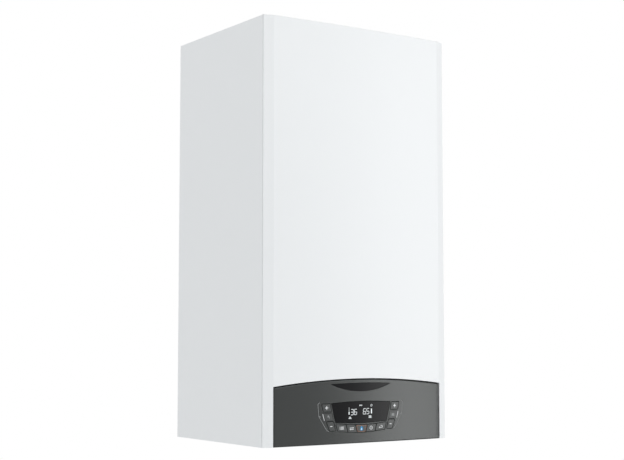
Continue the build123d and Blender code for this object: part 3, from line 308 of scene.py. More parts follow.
def make_piece(name, mesh_data, material, body, *replaced, slot=None, sharp=35.0, weighted=True):
    """Turns a bmesh into a smooth-shaded object that rides on a body."""
    mesh = bpy.data.meshes.new(name)
    mesh_data.to_mesh(mesh)
    mesh_data.free()
    for entry in material if isinstance(material, (list, tuple)) else [material]:
        mesh.materials.append(entry)
    mesh.polygons.foreach_set("use_smooth", [True] * len(mesh.polygons))
    mesh.set_sharp_from_angle(angle=math.radians(sharp))
    made = bpy.data.objects.new(name, mesh)
    bpy.context.collection.objects.link(made)
    if weighted:
        weighting = made.modifiers.new("weighting", "WEIGHTED_NORMAL")
        weighting.keep_sharp = True
    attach(made, body)
    if replaced:
        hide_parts(*replaced)
    return made


# %% [markdown]
# Outlines in front view are lists of (x, z) points. Corners are rounded with true arcs,
# and long runs are divided, because a straight line has to follow the convex face.


# %% Outlines
def rounded_corner(before, corner, after, radius, steps=5):
    """The points of an arc that replaces a corner."""
    before, corner, after = Vector(before), Vector(corner), Vector(after)
    to_before = (before - corner).normalized()
    to_after = (after - corner).normalized()
    opening = to_before.angle(to_after)
    if radius <= 0 or opening > math.radians(178):
        return [tuple(corner)]
    reach = radius / math.tan(opening / 2)
    centre = corner + (to_before + to_after).normalized() * radius / math.sin(opening / 2)
    start = corner + to_before * reach - centre
    end = corner + to_after * reach - centre
    sweep = start.angle_signed(end)
    points = []
    for i in range(steps + 1):
        turned = start.copy()
        turned.rotate(Matrix.Rotation(-sweep * i / steps, 2))
        points.append(tuple(centre + turned))
    return points


def rounded_outline(corners, radius, steps=5):
    """A closed outline with all its corners rounded."""
    points = []
    for i, corner in enumerate(corners):
        points += rounded_corner(corners[i - 1], corner, corners[(i + 1) % len(corners)], radius, steps)
    return points


def arc_through(start, middle, end, steps):
    """Points of the arc through three points."""
    (ax, ay), (bx, by), (cx, cy) = start, middle, end
    d = 2 * (ax * (by - cy) + bx * (cy - ay) + cx * (ay - by))
    a2, b2, c2 = ax * ax + ay * ay, bx * bx + by * by, cx * cx + cy * cy
    ux = (a2 * (by - cy) + b2 * (cy - ay) + c2 * (ay - by)) / d
    uy = (a2 * (cx - bx) + b2 * (ax - cx) + c2 * (bx - ax)) / d
    radius = math.hypot(ax - ux, ay - uy)
    first = math.atan2(ay - uy, ax - ux)
    last = math.atan2(cy - uy, cx - ux)
    turn = (last - first + math.pi) % (2 * math.pi) - math.pi
    return [
        (
            ux + radius * math.cos(first + turn * i / steps),
            uy + radius * math.sin(first + turn * i / steps)
        )
        for i in range(steps + 1)
    ]


def divided(outline, longest):
    """The outline with its long runs cut into equal short ones."""
    points = []
    for i, (x, z) in enumerate(outline):
        nx, nz = outline[(i + 1) % len(outline)]
        count = max(1, math.ceil(math.hypot(nx - x, nz - z) / longest))
        points += [(x + (nx - x) * k / count, z + (nz - z) * k / count) for k in range(count)]
    return points


def area_of(outline):
    """Signed area, positive when the outline runs anticlockwise."""
    pairs = zip(outline, outline[1:] + outline[:1])
    return sum(ax * bz - bx * az for (ax, az), (bx, bz) in pairs) / 2


def shifted(outline, inset):
    """The outline moved to its left by a distance, along mitred normals."""
    moved = []
    for i, point in enumerate(outline):
        a = Vector(point) - Vector(outline[i - 1])
        b = Vector(outline[(i + 1) % len(outline)]) - Vector(point)
        a.normalize()
        b.normalize()
        left = Vector((-a.y - b.y, a.x + b.x))
        if left.length < 1e-6:
            left = Vector((-a.y, a.x))
        left.normalize()
        stretch = min(2.0, 1 / max(0.5, left.dot(Vector((-a.y, a.x)))))
        moved.append(tuple(Vector(point) + left * inset * stretch))
    return moved


# %% [markdown]
# Most of the fascia's pieces are slabs: an outline with holes, a rounded front edge and a
# constant thickness, bent over the casing's convex face. The caps are filled by a
# constrained Delaunay mesh with extra points inside, so the bend shows no flat facets.


# %% Slabs bent over the face
def is_inside(x, z, rings):
    """Whether a point lies inside an odd number of rings."""
    crossings = 0
    for ring in rings:
        for (ax, az), (bx, bz) in zip(ring, ring[1:] + ring[:1]):
            if (az > z) != (bz > z) and x < ax + (bx - ax) * (z - az) / (bz - az):
                crossings += 1
    return crossings % 2 == 1


def add_cap(bm, rings, depth, grid, facing_front, surface):
    """Fills the space between rings at one depth."""
    lines = [ring for ring, verts in rings]
    points, edges, owners = [], [], []
    for ring, verts in rings:
        first = len(points)
        points += [Vector(p) for p in ring]
        owners += verts
        edges += [(first + i, first + (i + 1) % len(ring)) for i in range(len(ring))]
    on_rings = list(points)
    left, right = min(p.x for p in points), max(p.x for p in points)
    low, high = min(p.y for p in points), max(p.y for p in points)
    for i in range(1, int((right - left) / grid)):
        for k in range(1, int((high - low) / grid)):
            spot = Vector((left + i * grid, low + k * grid))
            if is_inside(*spot, lines) and min((spot - p).length for p in on_rings) > grid * 0.35:
                points.append(spot)
                owners.append(None)
    spots, _, faces, origins, _, _ = delaunay_2d_cdt(points, edges, [], 1, 1e-6)
    made = [next((owners[o] for o in origin if owners[o] is not None), None) for origin in origins]
    for face in faces:
        middle = sum((spots[i] for i in face), Vector((0, 0))) / len(face)
        if not is_inside(*middle, lines):
            continue
        for i in face:
            if made[i] is None:
                made[i] = bm.verts.new(at(spots[i].x, surface(spots[i].x) + depth, spots[i].y))
        corners = [made[i] for i in face]
        if len(set(corners)) < 3:
            continue
        a, b, c = (spots[i] for i in face[:3])
        if ((b - a).cross(c - a) > 0) != facing_front:
            corners.reverse()
        bm.faces.new(corners)


def add_slab(
    bm, outlines, front, back, edge=0.0, grid=8.0, longest=5.0, surface=face_y, steps=3,
    holes=(), hole_edge=0.0
):
    """Adds a slab. The first outline is its rim, the others are holes, and depths count from the face.

    The rings in holes are openings too, with an edge radius of their own.
    """
    fronts, backs = [], []
    for i, outline in enumerate(list(outlines) + list(holes)):
        if i == len(outlines):
            edge = hole_edge
        ring = divided(outline, longest)
        if (area_of(ring) > 0) != (i == 0):
            ring.reverse()
        turns = [math.radians(90) * k / steps for k in range(steps + 1)] if edge else [math.radians(90)]
        profile = [(0.0, back)]
        profile += [(edge * (1 - math.cos(t)), front + edge * (1 - math.sin(t))) for t in turns]
        levels = []
        for inset, depth in profile:
            line = shifted(ring, inset) if inset > 1e-9 else ring
            verts = [bm.verts.new(at(x, surface(x) + depth, z)) for x, z in line]
            levels.append((line, verts))
        for (_, low), (_, high) in zip(levels, levels[1:]):
            join_rings(bm, low, high)
        backs.append(levels[0])
        fronts.append(levels[-1])
    add_cap(bm, fronts, front, grid, True, surface)
    add_cap(bm, backs, back, grid, False, surface)


def slab_piece(name, outlines, front, back, edge, material, body, *replaced, **options):
    """A single slab as a piece of its own."""
    bm = bmesh.new()
    add_slab(bm, outlines, front, back, edge)
    return make_piece(name, bm, material, body, *replaced, **options)


# %% [markdown]
# The front panel is one folded sheet of steel. Its skin is drawn as columns along the
# plan line, from the left edge over the bevel and the convex face to the right edge, and
# rows from the arched cut-out to the top. The opening's lip, the lid and the returns are
# folded back from the skin's edges, and Bevel and Solidify turn it into bent sheet metal.

# %% Front panel
fascia_end_height = 100.6
fascia_mid_height = 112.2
lid_reach = 21.8
panel_return = 12.0
crease_radius = 6.0
lap_half = half_width - sheet - 0.4


def arch_height(x, end_height, mid_height, half):
    """Height of an arch through its two ends and its middle."""
    rise = mid_height - end_height
    radius = (half * half + rise * rise) / (2 * rise)
    return mid_height - radius + math.sqrt(radius**2 - x * x)


def plan_line():
    """The skin's plan from the left edge to the right edge, as (x, y) points."""
    steps = 36
    face = [-flat_half + 2 * flat_half * i / steps for i in range(steps + 1)]
    middle = [(x, face_y(x)) for x in face]
    corner = (-half_width, corner_y)
    crease = rounded_corner(corner, middle[0], middle[1], crease_radius, 4)
    left = [corner] + crease
    right = [(-x, y) for x, y in reversed(left)]
    return left + middle[1:-1] + right


def front_panel_skin():
    """The folded sheet before its thickness."""
    bm = bmesh.new()
    plan = plan_line()
    opening_top = fascia_end_height + fascia_gap
    rows = 24
    inside = [abs(x) <= flat_half + 0.01 for x, y in plan]
    columns = []
    for (x, y), face_column in zip(plan, inside):
        reach = min(abs(x), flat_half)
        low = opening_top
        if face_column:
            low = arch_height(reach, opening_top, fascia_mid_height + fascia_gap, flat_half)
        columns.append(
            [bm.verts.new(at(x, y, low + (casing_height - low) * k / rows)) for k in range(rows + 1)]
        )
    for left, right in zip(columns, columns[1:]):
        for k in range(rows):
            bm.faces.new((left[k], right[k], right[k + 1], left[k + 1]))
    lip = []
    legs = []
    for side in (-1, 1):
        order = range(len(plan)) if side < 0 else range(len(plan) - 1, -1, -1)
        leg = []
        for i in order:
            x, y = plan[i]
            leg.append((columns[i][0], bm.verts.new(at(x, y, 0)), (x, y)))
            if inside[i]:
                break
        for (a, a_low, _), (b, b_low, _) in zip(leg, leg[1:]):
            corners = (a_low, b_low, b, a)
            bm.faces.new(corners if side < 0 else corners[::-1])
        legs.append(leg)
    line = [(legs[0][-1][1], legs[0][-1][2])]
    line += [(columns[i][0], plan[i]) for i in range(len(plan)) if inside[i]]
    line += [(legs[1][-1][1], legs[1][-1][2])]
    for vert, (x, y) in line:
        back = vert.co.copy()
        back.y = panel_back_y * MM
        lip.append(bm.verts.new(back))
    for i in range(len(line) - 1):
        bm.faces.new((line[i][0], lip[i], lip[i + 1], line[i + 1][0]))
    lid = []
    for column in columns:
        edge = column[-1].co
        inner = max(-lap_half * MM, min(lap_half * MM, edge.x))
        lid.append(bm.verts.new((inner, (panel_back_y + lid_reach) * MM, edge.z)))
    for i in range(len(columns) - 1):
        bm.faces.new((columns[i][-1], columns[i + 1][-1], lid[i + 1], lid[i]))
    for side, column, leg in ((-1, columns[0], legs[0]), (1, columns[-1], legs[1])):
        edge = [leg[0][1]] + column
        turned = [bm.verts.new(v.co + Vector((0, sheet * MM, 0))) for v in edge]
        inner = [bm.verts.new(v.co + Vector((-side * panel_return * MM, sheet * MM, 0))) for v in edge]
        inner[-1].co.z -= 2 * sheet * MM
        turned[-1].co.z -= 2 * sheet * MM
        for k in range(len(edge) - 1):
            for a, b in ((edge, turned), (turned, inner)):
                corners = (a[k], a[k + 1], b[k + 1], b[k])
                bm.faces.new(corners if side < 0 else corners[::-1])
    return bm


def fold_and_thicken(piece, fold, thickness):
    """Rounds the folds of a sheet and gives it its thickness to the inside."""
    rounding = piece.modifiers.new("folds", "BEVEL")
    rounding.width = fold * MM
    rounding.segments = 3
    rounding.limit_method = "ANGLE"
    rounding.angle_limit = math.radians(32)
    wall = piece.modifiers.new("sheet", "SOLIDIFY")
    wall.thickness = thickness * MM
    wall.offset = -1.0
    weighting = piece.modifiers.new("weighting", "WEIGHTED_NORMAL")
    weighting.keep_sharp = True
    return piece


panel_skin = front_panel_skin()
front_panel = make_piece(
    "front_panel_sheet", panel_skin, white_coat, "front_panel", "front_panel",
    slot="white_steel", weighted=False
)
fold_and_thicken(front_panel, 1.0, sheet * 0.9)
print("front panel faces:", len(front_panel.data.polygons))

# %% [markdown]
# Each side panel is a flat sheet with a narrow return behind the front panel. Its front
# corner is a real bend with a radius of two millimetres, which catches a thin light
# line.

# %% Side panels
seam_gap = 1.8
side_front_y = panel_back_y + seam_gap
side_flange = 14.0
side_bend = 2.0


def side_panel_skin(side):
    """A side panel's sheet as columns along its plan, from the wall to its return."""
    bm = bmesh.new()
    wall_end = (side * half_width, 0)
    front_corner = (side * half_width, side_front_y)
    flange_end = (side * (half_width - side_flange), side_front_y)
    bend = rounded_corner(wall_end, front_corner, flange_end, side_bend, 5)
    runs = 16
    start_y = bend[0][1]
    plan = [(side * half_width, start_y * i / runs) for i in range(runs)] + bend
    plan.append(flange_end)
    rows = 12
    columns = []
    for x, y in plan:
        top = casing_height
        if abs(x) < half_width - side_bend - 0.1:
            top = casing_height - 2 * sheet
        columns.append([bm.verts.new(at(x, y, top * k / rows)) for k in range(rows + 1)])
    for left, right in zip(columns, columns[1:]):
        for k in range(rows):
            corners = (left[k], left[k + 1], right[k + 1], right[k])
            bm.faces.new(corners if side > 0 else corners[::-1])
    return bm


for side, side_name in ((-1, "left"), (1, "right")):
    side_sheet = make_piece(
        side_name + "_side_sheet",
        side_panel_skin(side),
        white_coat,
        "root",
        side_name + "_side_panel",
        slot="white_steel",
        weighted=False,
    )
    wall = side_sheet.modifiers.new("sheet", "SOLIDIFY")
    wall.thickness = sheet * MM
    wall.offset = -1.0
    weighting = side_sheet.modifiers.new("weighting", "WEIGHTED_NORMAL")
    weighting.keep_sharp = True
    print(side_sheet.name, "faces:", len(side_sheet.data.polygons))

# %% [markdown]
# The fascia is a moulded plate under the same curve as the front face, with a rim that
# runs back into the casing, a shallow pocket for the bare badge, the window opening and
# one opening for each group of keys. The key and window outlines are trapezoids.

# %% Outlines of the fascia
fascia_half = flat_half - fascia_gap
fascia_plate = 3.0
fascia_rim = 18.0
fascia_wall = 2.5
head_wall = 1.3
key_gap = 1.2
key_corner = 1.0
key_proud = 0.3
window_top_half = 64.6
window_top = 71.2
window_bottom_half = 56.2
window_bottom = 37.7
window_arch = 2.3


def arched(half, end_height, mid_height, low, corner=1.2):
    """A block outline with an arched head and rounded lower corners."""
    head = arc_through((half, end_height), (0, mid_height), (-half, end_height), 48)
    left = rounded_corner(head[-1], (-half, low), (half, low), corner)
    right = rounded_corner((-half, low), (half, low), head[0], corner)
    return head + left + right


def badge_outline(grow):
    """The crescent of the badge."""
    half = 65.0 + 3 * grow
    tip = 104.2 + grow
    top = arc_through((half, tip), (0, 105.8 + grow), (-half, tip), 30)
    low = arc_through((-half, tip), (0, 91.2 - grow), (half, tip), 30)
    return top + low[1:-1]


def window_outline(grow):
    """The display window: a trapezoid with an arched head and foot."""
    top_half, low_half = window_top_half + grow, window_bottom_half + grow
    top, low = window_top + grow, window_bottom - grow
    head = arc_through((top_half, top), (0, top + window_arch), (-top_half, top), 24)
    base = arc_through((-low_half, low), (0, low - window_arch), (low_half, low), 24)
    return head + base


def row_key(left, right):
    """Corners of a key in the lower row, between two dividers on the row's shallow arc."""
    corners = []
    half_gap = key_gap / 2
    for x, drop in (
        (left + half_gap, 0), (right - half_gap, 0), (right - half_gap, 12.6), (left + half_gap, 12.6)
    ):
        lean = math.copysign(min(abs(x), 0.32 * drop), x) if abs(x) > key_gap else 0
        corners.append((x - lean, 31.8 + x * x / 960.0 - drop))
    return corners


def reflected(corners):
    """The same corners on the left of the middle."""
    return [(-x, z) for x, z in reversed(corners)]


plus_corners = [(67.5, 70.3), (84.6, 70.3), (81.0, 57.2), (64.6, 57.2)]
minus_corners = [(60.4, 39.2), (74.6, 39.2), (68.2, 23.6), (56.4, 23.6)]
tile_corners = [(63.9, 53.8), (80.4, 53.8), (77.0, 41.6), (61.2, 41.6)]
key_corners = {
    "key_hot_plus": reflected(plus_corners),
    "key_hot_minus": reflected(minus_corners),
    "key_heat_plus": plus_corners,
    "key_heat_minus": minus_corners,
    "key_menu": row_key(-55.8, -33.6),
    "key_mode": row_key(-33.6, -13.0),
    "key_reset": row_key(-13.0, 13.0),
    "key_info": row_key(13.0, 33.6),
    "key_escape": row_key(33.6, 55.8),
}
print("keys:", len(key_corners))


def centre_of(corners):
    """Middle of an outline's corners."""
    return Vector((sum(x for x, z in corners) / len(corners), sum(z for x, z in corners) / len(corners)))


# %% [markdown]
# The lower row's keys stand side by side in one long opening, and each side key has its
# own. The opening of the row is drawn as one outline, along the tops of its keys and back
# along their feet.

# %% Fascia
opening_grow = key_gap / 2
post_places = [(-92.0, 76.0), (92.0, 76.0), (-72.0, 15.0), (72.0, 15.0)]
board_face = -300.0


def circle(x, z, radius, steps=20):
    """The points of a circle."""
    turns = [math.tau * i / steps for i in range(steps)]
    return [(x + radius * math.cos(t), z + radius * math.sin(t)) for t in turns]


def row_opening():
    """Outline of the lower row's opening."""
    row = ["key_menu", "key_mode", "key_reset", "key_info", "key_escape"]
    tops, feet = [], []
    for name in row:
        corners = sorted(key_corners[name], key=lambda c: -c[1])
        tops += sorted(corners[:2])
        feet += sorted(corners[2:])
    return tops + feet[::-1]


def grown(corners, by, radius=key_corner):
    """An outline with rounded corners, grown by a distance."""
    ring = rounded_outline(corners, radius)
    if area_of(ring) < 0:
        ring.reverse()
    return shifted(ring, -by)


def fascia_mesh():
    """Plate, rim, badge pocket and posts of the fascia."""
    bm = bmesh.new()
    outline = arched(fascia_half, fascia_end_height, fascia_mid_height, 0)
    inner_half = fascia_half - fascia_wall
    inner = arched(inner_half, fascia_end_height - head_wall, fascia_mid_height - head_wall, fascia_wall)
    openings = [window_outline(0), grown(row_opening(), opening_grow)]
    for name in ("key_hot_plus", "key_hot_minus", "key_heat_plus", "key_heat_minus"):
        openings.append(grown(key_corners[name], opening_grow))
    pocket = badge_outline(0)
    pocket_depth = 1.5
    add_slab(bm, [outline], 0, fascia_plate, 2.2, grid=7, holes=[pocket] + openings, hole_edge=0.8)
    add_slab(bm, [badge_outline(0.02)], pocket_depth, fascia_plate, 0, grid=7)
    add_slab(bm, [outline, inner], fascia_plate - 0.01, fascia_rim, 0, grid=9)
    for x, z in post_places:
        add_slab(bm, [circle(x, z, 3.0)], fascia_plate - 0.1, board_face - face_y(x), 0, grid=4)
    return bm


fascia = make_piece(
    "fascia_shell", fascia_mesh(), fascia_lacquer, "control_box", "fascia", slot="fascia_grey"
)
slab_piece(
    "badge_blank", [badge_outline(-0.12)], 0.05, 1.4, 0.4, gloss_black, "control_box", "badge_inset",
    slot="window_black"
)
slab_piece(
    "window_pane", [window_outline(-0.2)], 0.3, 5.0, 0.5, gloss_black, "control_box", "display_window",
    slot="window_black"
)
for tile_name, corners in (("hot_tile", reflected(tile_corners)), ("heat_tile", tile_corners)):
    slab_piece(tile_name, [grown(corners, 0)], -key_proud, 0.2, 0.25, key_lacquer, "control_box")
    # A thin near-black ring on the plate round each tile is painted shade, standing for the shadow of a gap
    # round the tile.
    rim = [grown(corners, 0.9), grown(corners, 0.05)]
    slab_piece(tile_name + "_line", rim, -0.03, 0.1, 0, gap_shade_paint, "control_box")
print("fascia faces:", len(fascia.data.polygons))

# %% [markdown]
# A key is a cap with a softly rounded edge, a thin flange that keeps it behind the plate
# and a stem that reaches its switch. Each rides on its own body, because each can be
# pressed, and its sign is a thin layer of ink on the cap that rides with it.

# %% Keys
key_cap = 3.6
stem_end = -303.5


def key_mesh(corners):
    """Cap, flange and stem of one key."""
    bm = bmesh.new()
    add_slab(bm, [grown(corners, 0)], -key_proud, key_cap, 0.45, grid=4)
    middle = centre_of(corners)
    near = min(abs(corners[1][0] - corners[0][0]), abs(corners[3][0] - corners[2][0])) / 2 - 2
    low = min(z for x, z in corners) - 0.2
    high = max(z for x, z in corners) + 0.2
    flange = [
        (middle.x - near, low), (middle.x + near, low), (middle.x + near, high), (middle.x - near, high)
    ]
    add_slab(bm, [flange], 3.3, 4.5, 0, grid=6)
    add_slab(bm, [circle(middle.x, middle.y, 2.0)], key_cap - 0.1, stem_end - face_y(middle.x), 0, grid=3)
    return bm


for key_name, corners in key_corners.items():
    make_piece(key_name + "_cap", key_mesh(corners), key_lacquer, key_name, key_name, slot="key_grey")
print("keys made")

# %% [markdown]
# Signs are flat strokes of ink a few hundredths of a millimetre thick. A stroke is a bar
# between two points or a ring, and a sign is a list of them. Each list of strokes
# becomes one piece.

# %% Strokes
ink_layer = 0.04


def bar(x0, z0, x1, z1, width):
    """A straight stroke between two points."""
    along = Vector((x1 - x0, z1 - z0)).normalized()
    across = Vector((-along.y, along.x)) * width / 2
    a, b = Vector((x0, z0)), Vector((x1, z1))
    return [[tuple(a - across), tuple(b - across), tuple(b + across), tuple(a + across)]]


def ring(x, z, radius, width):
    """A ring stroke."""
    return [circle(x, z, radius + width / 2), circle(x, z, radius - width / 2)]


def ink(name, strokes, material, body, proud):
    """A list of strokes as one thin piece on a surface that stands proud of the face."""
    bm = bmesh.new()
    for stroke in strokes:
        add_slab(bm, stroke, -proud - ink_layer, -proud + 0.02, 0, grid=50, longest=3)
    return make_piece(name, bm, material, body, weighted=False)


def moved(strokes, x, z, scale=1.0):
    """Strokes drawn round the origin, put in place."""
    return [
        [[(px * scale + x, pz * scale + z) for px, pz in outline] for outline in stroke]
        for stroke in strokes
    ]


# %% [markdown]
# The keys carry plain signs: plus and minus at the sides, and below a list, a pair of
# arrows, a flame for the reset key, the letter-free information sign and a return arrow.

# %% Key signs
plus_quarter = [(-0.7, 3), (-0.7, 0.7), (-3, 0.7)]
plus_half = plus_quarter + [(x, -z) for x, z in reversed(plus_quarter)]
plus_sign = [[plus_half + [(-x, z) for x, z in reversed(plus_half)]]]
minus_sign = [bar(-2.9, 0, 2.9, 0, 1.4)]
list_sign = [bar(-2.6, z, 4.4, z, 0.9) for z in (-1.9, 0, 1.9)] + [
    bar(-4.6, z, -3.6, z, 0.9) for z in (-1.9, 0, 1.9)
]
arrows_sign = [
    bar(-4.2, 1.2, 2.4, 1.2, 0.9),
    [[(2.2, 2.8), (4.6, 1.2), (2.2, -0.2)]],
    bar(-2.4, -1.4, 4.2, -1.4, 0.9),
    [[(-2.2, -2.9), (-4.6, -1.4), (-2.2, 0.1)]],
]
info_sign = [ring(0, 0, 3.0, 0.7), bar(0, -1.6, 0, 0.4, 0.9), [circle(0, 1.5, 0.55, 12)]]
return_sign = [
    bar(-2.2, -1.6, 3.6, -1.6, 0.9),
    bar(3.6, -2.05, 3.6, 1.6, 0.9),
    bar(3.15, 1.6, -0.4, 1.6, 0.9),
    [[(-1.8, -3.2), (-4.4, -1.6), (-1.8, 0)]],
]
flame_outline = rounded_outline(
    [(0, 4.6), (2.6, 1.2), (3.1, -1.6), (1.7, -3.6), (-1.7, -3.6), (-3.1, -1.6), (-2.4, 0.9)], 0.8, 4
)
flame_heart = rounded_outline([(0, 1.2), (1.3, -1.4), (0, -2.7), (-1.3, -1.4)], 0.4, 3)
key_signs = {
    "key_hot_plus": plus_sign,
    "key_heat_plus": plus_sign,
    "key_hot_minus": minus_sign,
    "key_heat_minus": minus_sign,
    "key_menu": list_sign,
    "key_mode": arrows_sign,
    "key_info": info_sign,
    "key_escape": return_sign,
}
for key_name, strokes in key_signs.items():
    middle = centre_of(key_corners[key_name])
    scale = 0.8 if key_name in ("key_hot_minus", "key_heat_minus") else 1.0
    ink(key_name + "_sign", moved(strokes, middle.x, middle.y, scale), white_ink, key_name, key_proud)
reset_middle = centre_of(key_corners["key_reset"])
flame = [[flame_outline, flame_heart]]
ink("key_reset_flame", moved(flame, reset_middle.x, reset_middle.y), blue_ink, "key_reset", key_proud)
ink(
    "key_reset_heart", moved([[flame_heart]], reset_middle.x, reset_middle.y), white_ink, "key_reset",
    key_proud
)
reset_line = [[grown(key_corners["key_reset"], -0.7), grown(key_corners["key_reset"], -1.2)]]
ink("key_reset_line", reset_line, amber_ink, "key_reset", key_proud)
print("key signs:", len(key_signs) + 1)

# %% [markdown]
# The display shows two numbers in seven-segment digits that lean slightly, with a bar at
# the outer side of each and small plain signs above and below. A digit is built from the
# segments that are lit, written as letters in the usual order from the top clockwise.

# %% Display
digit_height = 9.6
digit_width = 5.4
digit_lean = 0.10
segment_width = 0.85
lit_segments = {"3": "abcdg", "6": "acdefg", "5": "acdfg"}


def digit_strokes(digit, x, z):
    """The lit segments of one digit round its middle."""
    w, h = digit_width / 2, digit_height / 2
    gap = 0.35
    lines = {
        "a": (-w + gap, h, w - gap, h),
        "b": (w, h - gap, w, gap),
        "c": (w, -gap, w, -h + gap),
        "d": (-w + gap, -h, w - gap, -h),
        "e": (-w, -gap, -w, -h + gap),
        "f": (-w, h - gap, -w, gap),
        "g": (-w + gap, 0, w - gap, 0),
    }
    strokes = []
    for segment in lit_segments[digit]:
        x0, z0, x1, z1 = lines[segment]
        strokes += [
            bar(x0 + z0 * digit_lean + x, z0 + z, x1 + z1 * digit_lean + x, z1 + z, segment_width)
        ]
    return strokes


display_strokes = []
for digit, x, z in (("3", -20.0, 54.8), ("6", -12.6, 54.9), ("6", 7.0, 55.4), ("5", 14.4, 55.5)):
    display_strokes += digit_strokes(digit, x, z)
display_strokes += [bar(-26.6, 50.6, -26.6, 55.8, 1.8), bar(22.4, 51.2, 22.4, 59.8, 2.2)]
display_strokes += [bar(-27.4, 58.2 + 2 * i, -25.6, 58.2 + 2 * i, 0.6) for i in range(3)]
display_strokes += [bar(-3.4 + 2.2 * i, 65.2, -3.4 + 2.2 * i, 67.4, 1.1) for i in range(3)]
display_strokes += [ring(22.4, 65.6, 1.7, 0.6)]
display_strokes += [
    bar(-27.6, 43.8, -21.4, 43.8, 0.9), bar(-26.6, 45.6, -22.4, 45.6, 0.9),
    bar(-24.5, 44.6, -24.5, 47.2, 1.2)
]
display_strokes += [bar(17.0 + 1.5 * i, 43.4, 17.0 + 1.5 * i, 47.6, 0.8) for i in range(4)]
display_strokes += [bar(16.2, 43.8, 22.4, 43.8, 0.6), bar(16.2, 47.2, 22.4, 47.2, 0.6)]
ink("display_signs", display_strokes, lit_segment, "control_box", -0.3)
print("display strokes:", len(display_strokes))

# %% [markdown]
# Beside the keys a thin printed bracket ties the left group together, and the two tiles
# carry a tap and a radiator with a light line along their outer side.

# %% Printed marks
bracket = [(-88.6, 73.4), (-92.6, 70.3), (-90.5, 48.7), (-74.0, 24.6), (-69.8, 23.0)]
bracket_strokes = [bar(*a, *b, 0.55) for a, b in zip(bracket, bracket[1:])]
bracket_strokes += [bar(-90.7, 50.6, -87.4, 48.6, 0.55), bar(-87.4, 48.6, -89.6, 46.4, 0.55)]
ink("bracket_line", bracket_strokes, pale_ink, "control_box", 0)
mirror_strokes = [
    [[(-x, z) for x, z in reversed(outline)] for outline in stroke] for stroke in bracket_strokes
]
faint_ink = finish("faint_grey_ink", (0.17, 0.175, 0.172), 0.5, 0, 0.03, 1500, 0.02)
ink("bracket_line_right", mirror_strokes, faint_ink, "control_box", 0)
tap_sign = [
    bar(-2.8, 0.6, 1.6, 0.6, 1.3),
    bar(-0.6, 0.6, -0.6, 2.8, 0.9),
    bar(-1.8, 2.9, 0.6, 2.9, 0.9),
    bar(1.9, 1.2, 1.9, -1.2, 1.2),
    [circle(1.9, -2.9, 0.6, 10)],
]
radiator_sign = [bar(-2.7 + 1.8 * i, -2.4, -2.7 + 1.8 * i, 2.4, 1.0) for i in range(4)]
radiator_sign += [bar(-3.6, 1.6, 3.6, 1.6, 0.5), bar(-3.6, -1.6, 3.6, -1.6, 0.5)]
for name, corners, sign in (
    ("hot_tile", reflected(tile_corners), tap_sign), ("heat_tile", tile_corners, radiator_sign)
):
    middle = centre_of(corners)
    ink(name + "_sign", moved(sign, middle.x, middle.y, 0.85), pale_ink, "control_box", key_proud)
for side in (-1, 1):
    edge_line = [bar(side * 82.6, 53.4, side * 79.2, 42.0, 1.0)]
    ink("tile_side_line_" + ("left" if side < 0 else "right"), edge_line, white_ink, "control_box", 0)

# %% [markdown]
# The casing hides a burner, a fan, a pump, a vessel and their pipes. The front lifts off,
# so they are dressed too. Each material slot of the record gets its own finish, chosen
# for how the part is made: rolled, cast, turned, drawn or moulded.

# %% Finishes of the inside
slot_finishes = {
    "white_steel": white_coat,
    "galvanised_steel": finish("zinc_coated_steel", (0.56, 0.58, 0.60), 0.42, 0.85, 0.10, 90, 0.03),
    "rubber_seal": finish("black_rubber", (0.022, 0.022, 0.022), 0.75, 0, 0.08, 1400, 0.12),
    "foam_seal": finish("grey_foam", (0.10, 0.105, 0.11), 0.95, 0, 0.12, 1800, 0.5),
    "white_plastic": finish("white_moulded_plastic", (0.80, 0.80, 0.79), 0.45, 0, 0.01, 1500, 0.03),
    "stainless": finish(
        "rolled_stainless", (0.60, 0.60, 0.58), 0.30, 1.0, 0.05, 500, 0.05, 0, (0.2, 8, 1)
    ),
    "cast_aluminium": finish("cast_aluminium", (0.56, 0.57, 0.58), 0.52, 0.9, 0.06, 1100, 0.25),
    "ceramic": finish("glazed_ceramic", (0.80, 0.77, 0.70), 0.2, 0, 0.02, 900, 0.02, 0.5),
    "fan_metal": finish("die_cast_housing", (0.50, 0.51, 0.53), 0.46, 0.9, 0.05, 1300, 0.18),
    "black_plastic": finish("black_textured_plastic", (0.018, 0.018, 0.019), 0.55, 0, 0.08, 1900, 0.15),
    "moving_plastic": finish("dark_moulded_plastic", (0.05, 0.05, 0.052), 0.45, 0, 0.05, 1500, 0.05),
    "gas_pipe_steel": finish("plated_steel_tube", (0.60, 0.58, 0.50), 0.32, 0.95, 0.05, 600, 0.04),
    "red_vessel": finish("red_enamel", (0.42, 0.022, 0.018), 0.28, 0, 0.05, 350, 0.06, 0.25),
    "copper": finish("drawn_copper", (0.72, 0.33, 0.19), 0.26, 1.0, 0.10, 300, 0.04),
    "brass": finish("turned_brass", (0.70, 0.52, 0.22), 0.27, 1.0, 0.06, 700, 0.05),
    "grey_composite": finish("glass_filled_plastic", (0.075, 0.08, 0.085), 0.55, 0, 0.10, 700, 0.12),
    "red_plastic": finish("red_knob_plastic", (0.50, 0.02, 0.015), 0.3, 0, 0.03, 1500, 0.03),
    "trap_plastic": finish("grey_trap_plastic", (0.36, 0.38, 0.39), 0.35, 0, 0.03, 900, 0.03),
    "fascia_grey": fascia_lacquer,
    "window_black": gloss_black,
    "circuit_board": finish("green_board", (0.012, 0.10, 0.04), 0.35, 0, 0.20, 500, 0.04),
    "key_grey": key_lacquer,
}
for part in frame["record"]["subparts"]:
    cad_node = nodes[part["node"]]
    cad_node.data.materials.clear()
    cad_node.data.materials.append(slot_finishes[part["material_slot"]])
    cad_node.data.polygons.foreach_set("use_smooth", [False] * len(cad_node.data.polygons))

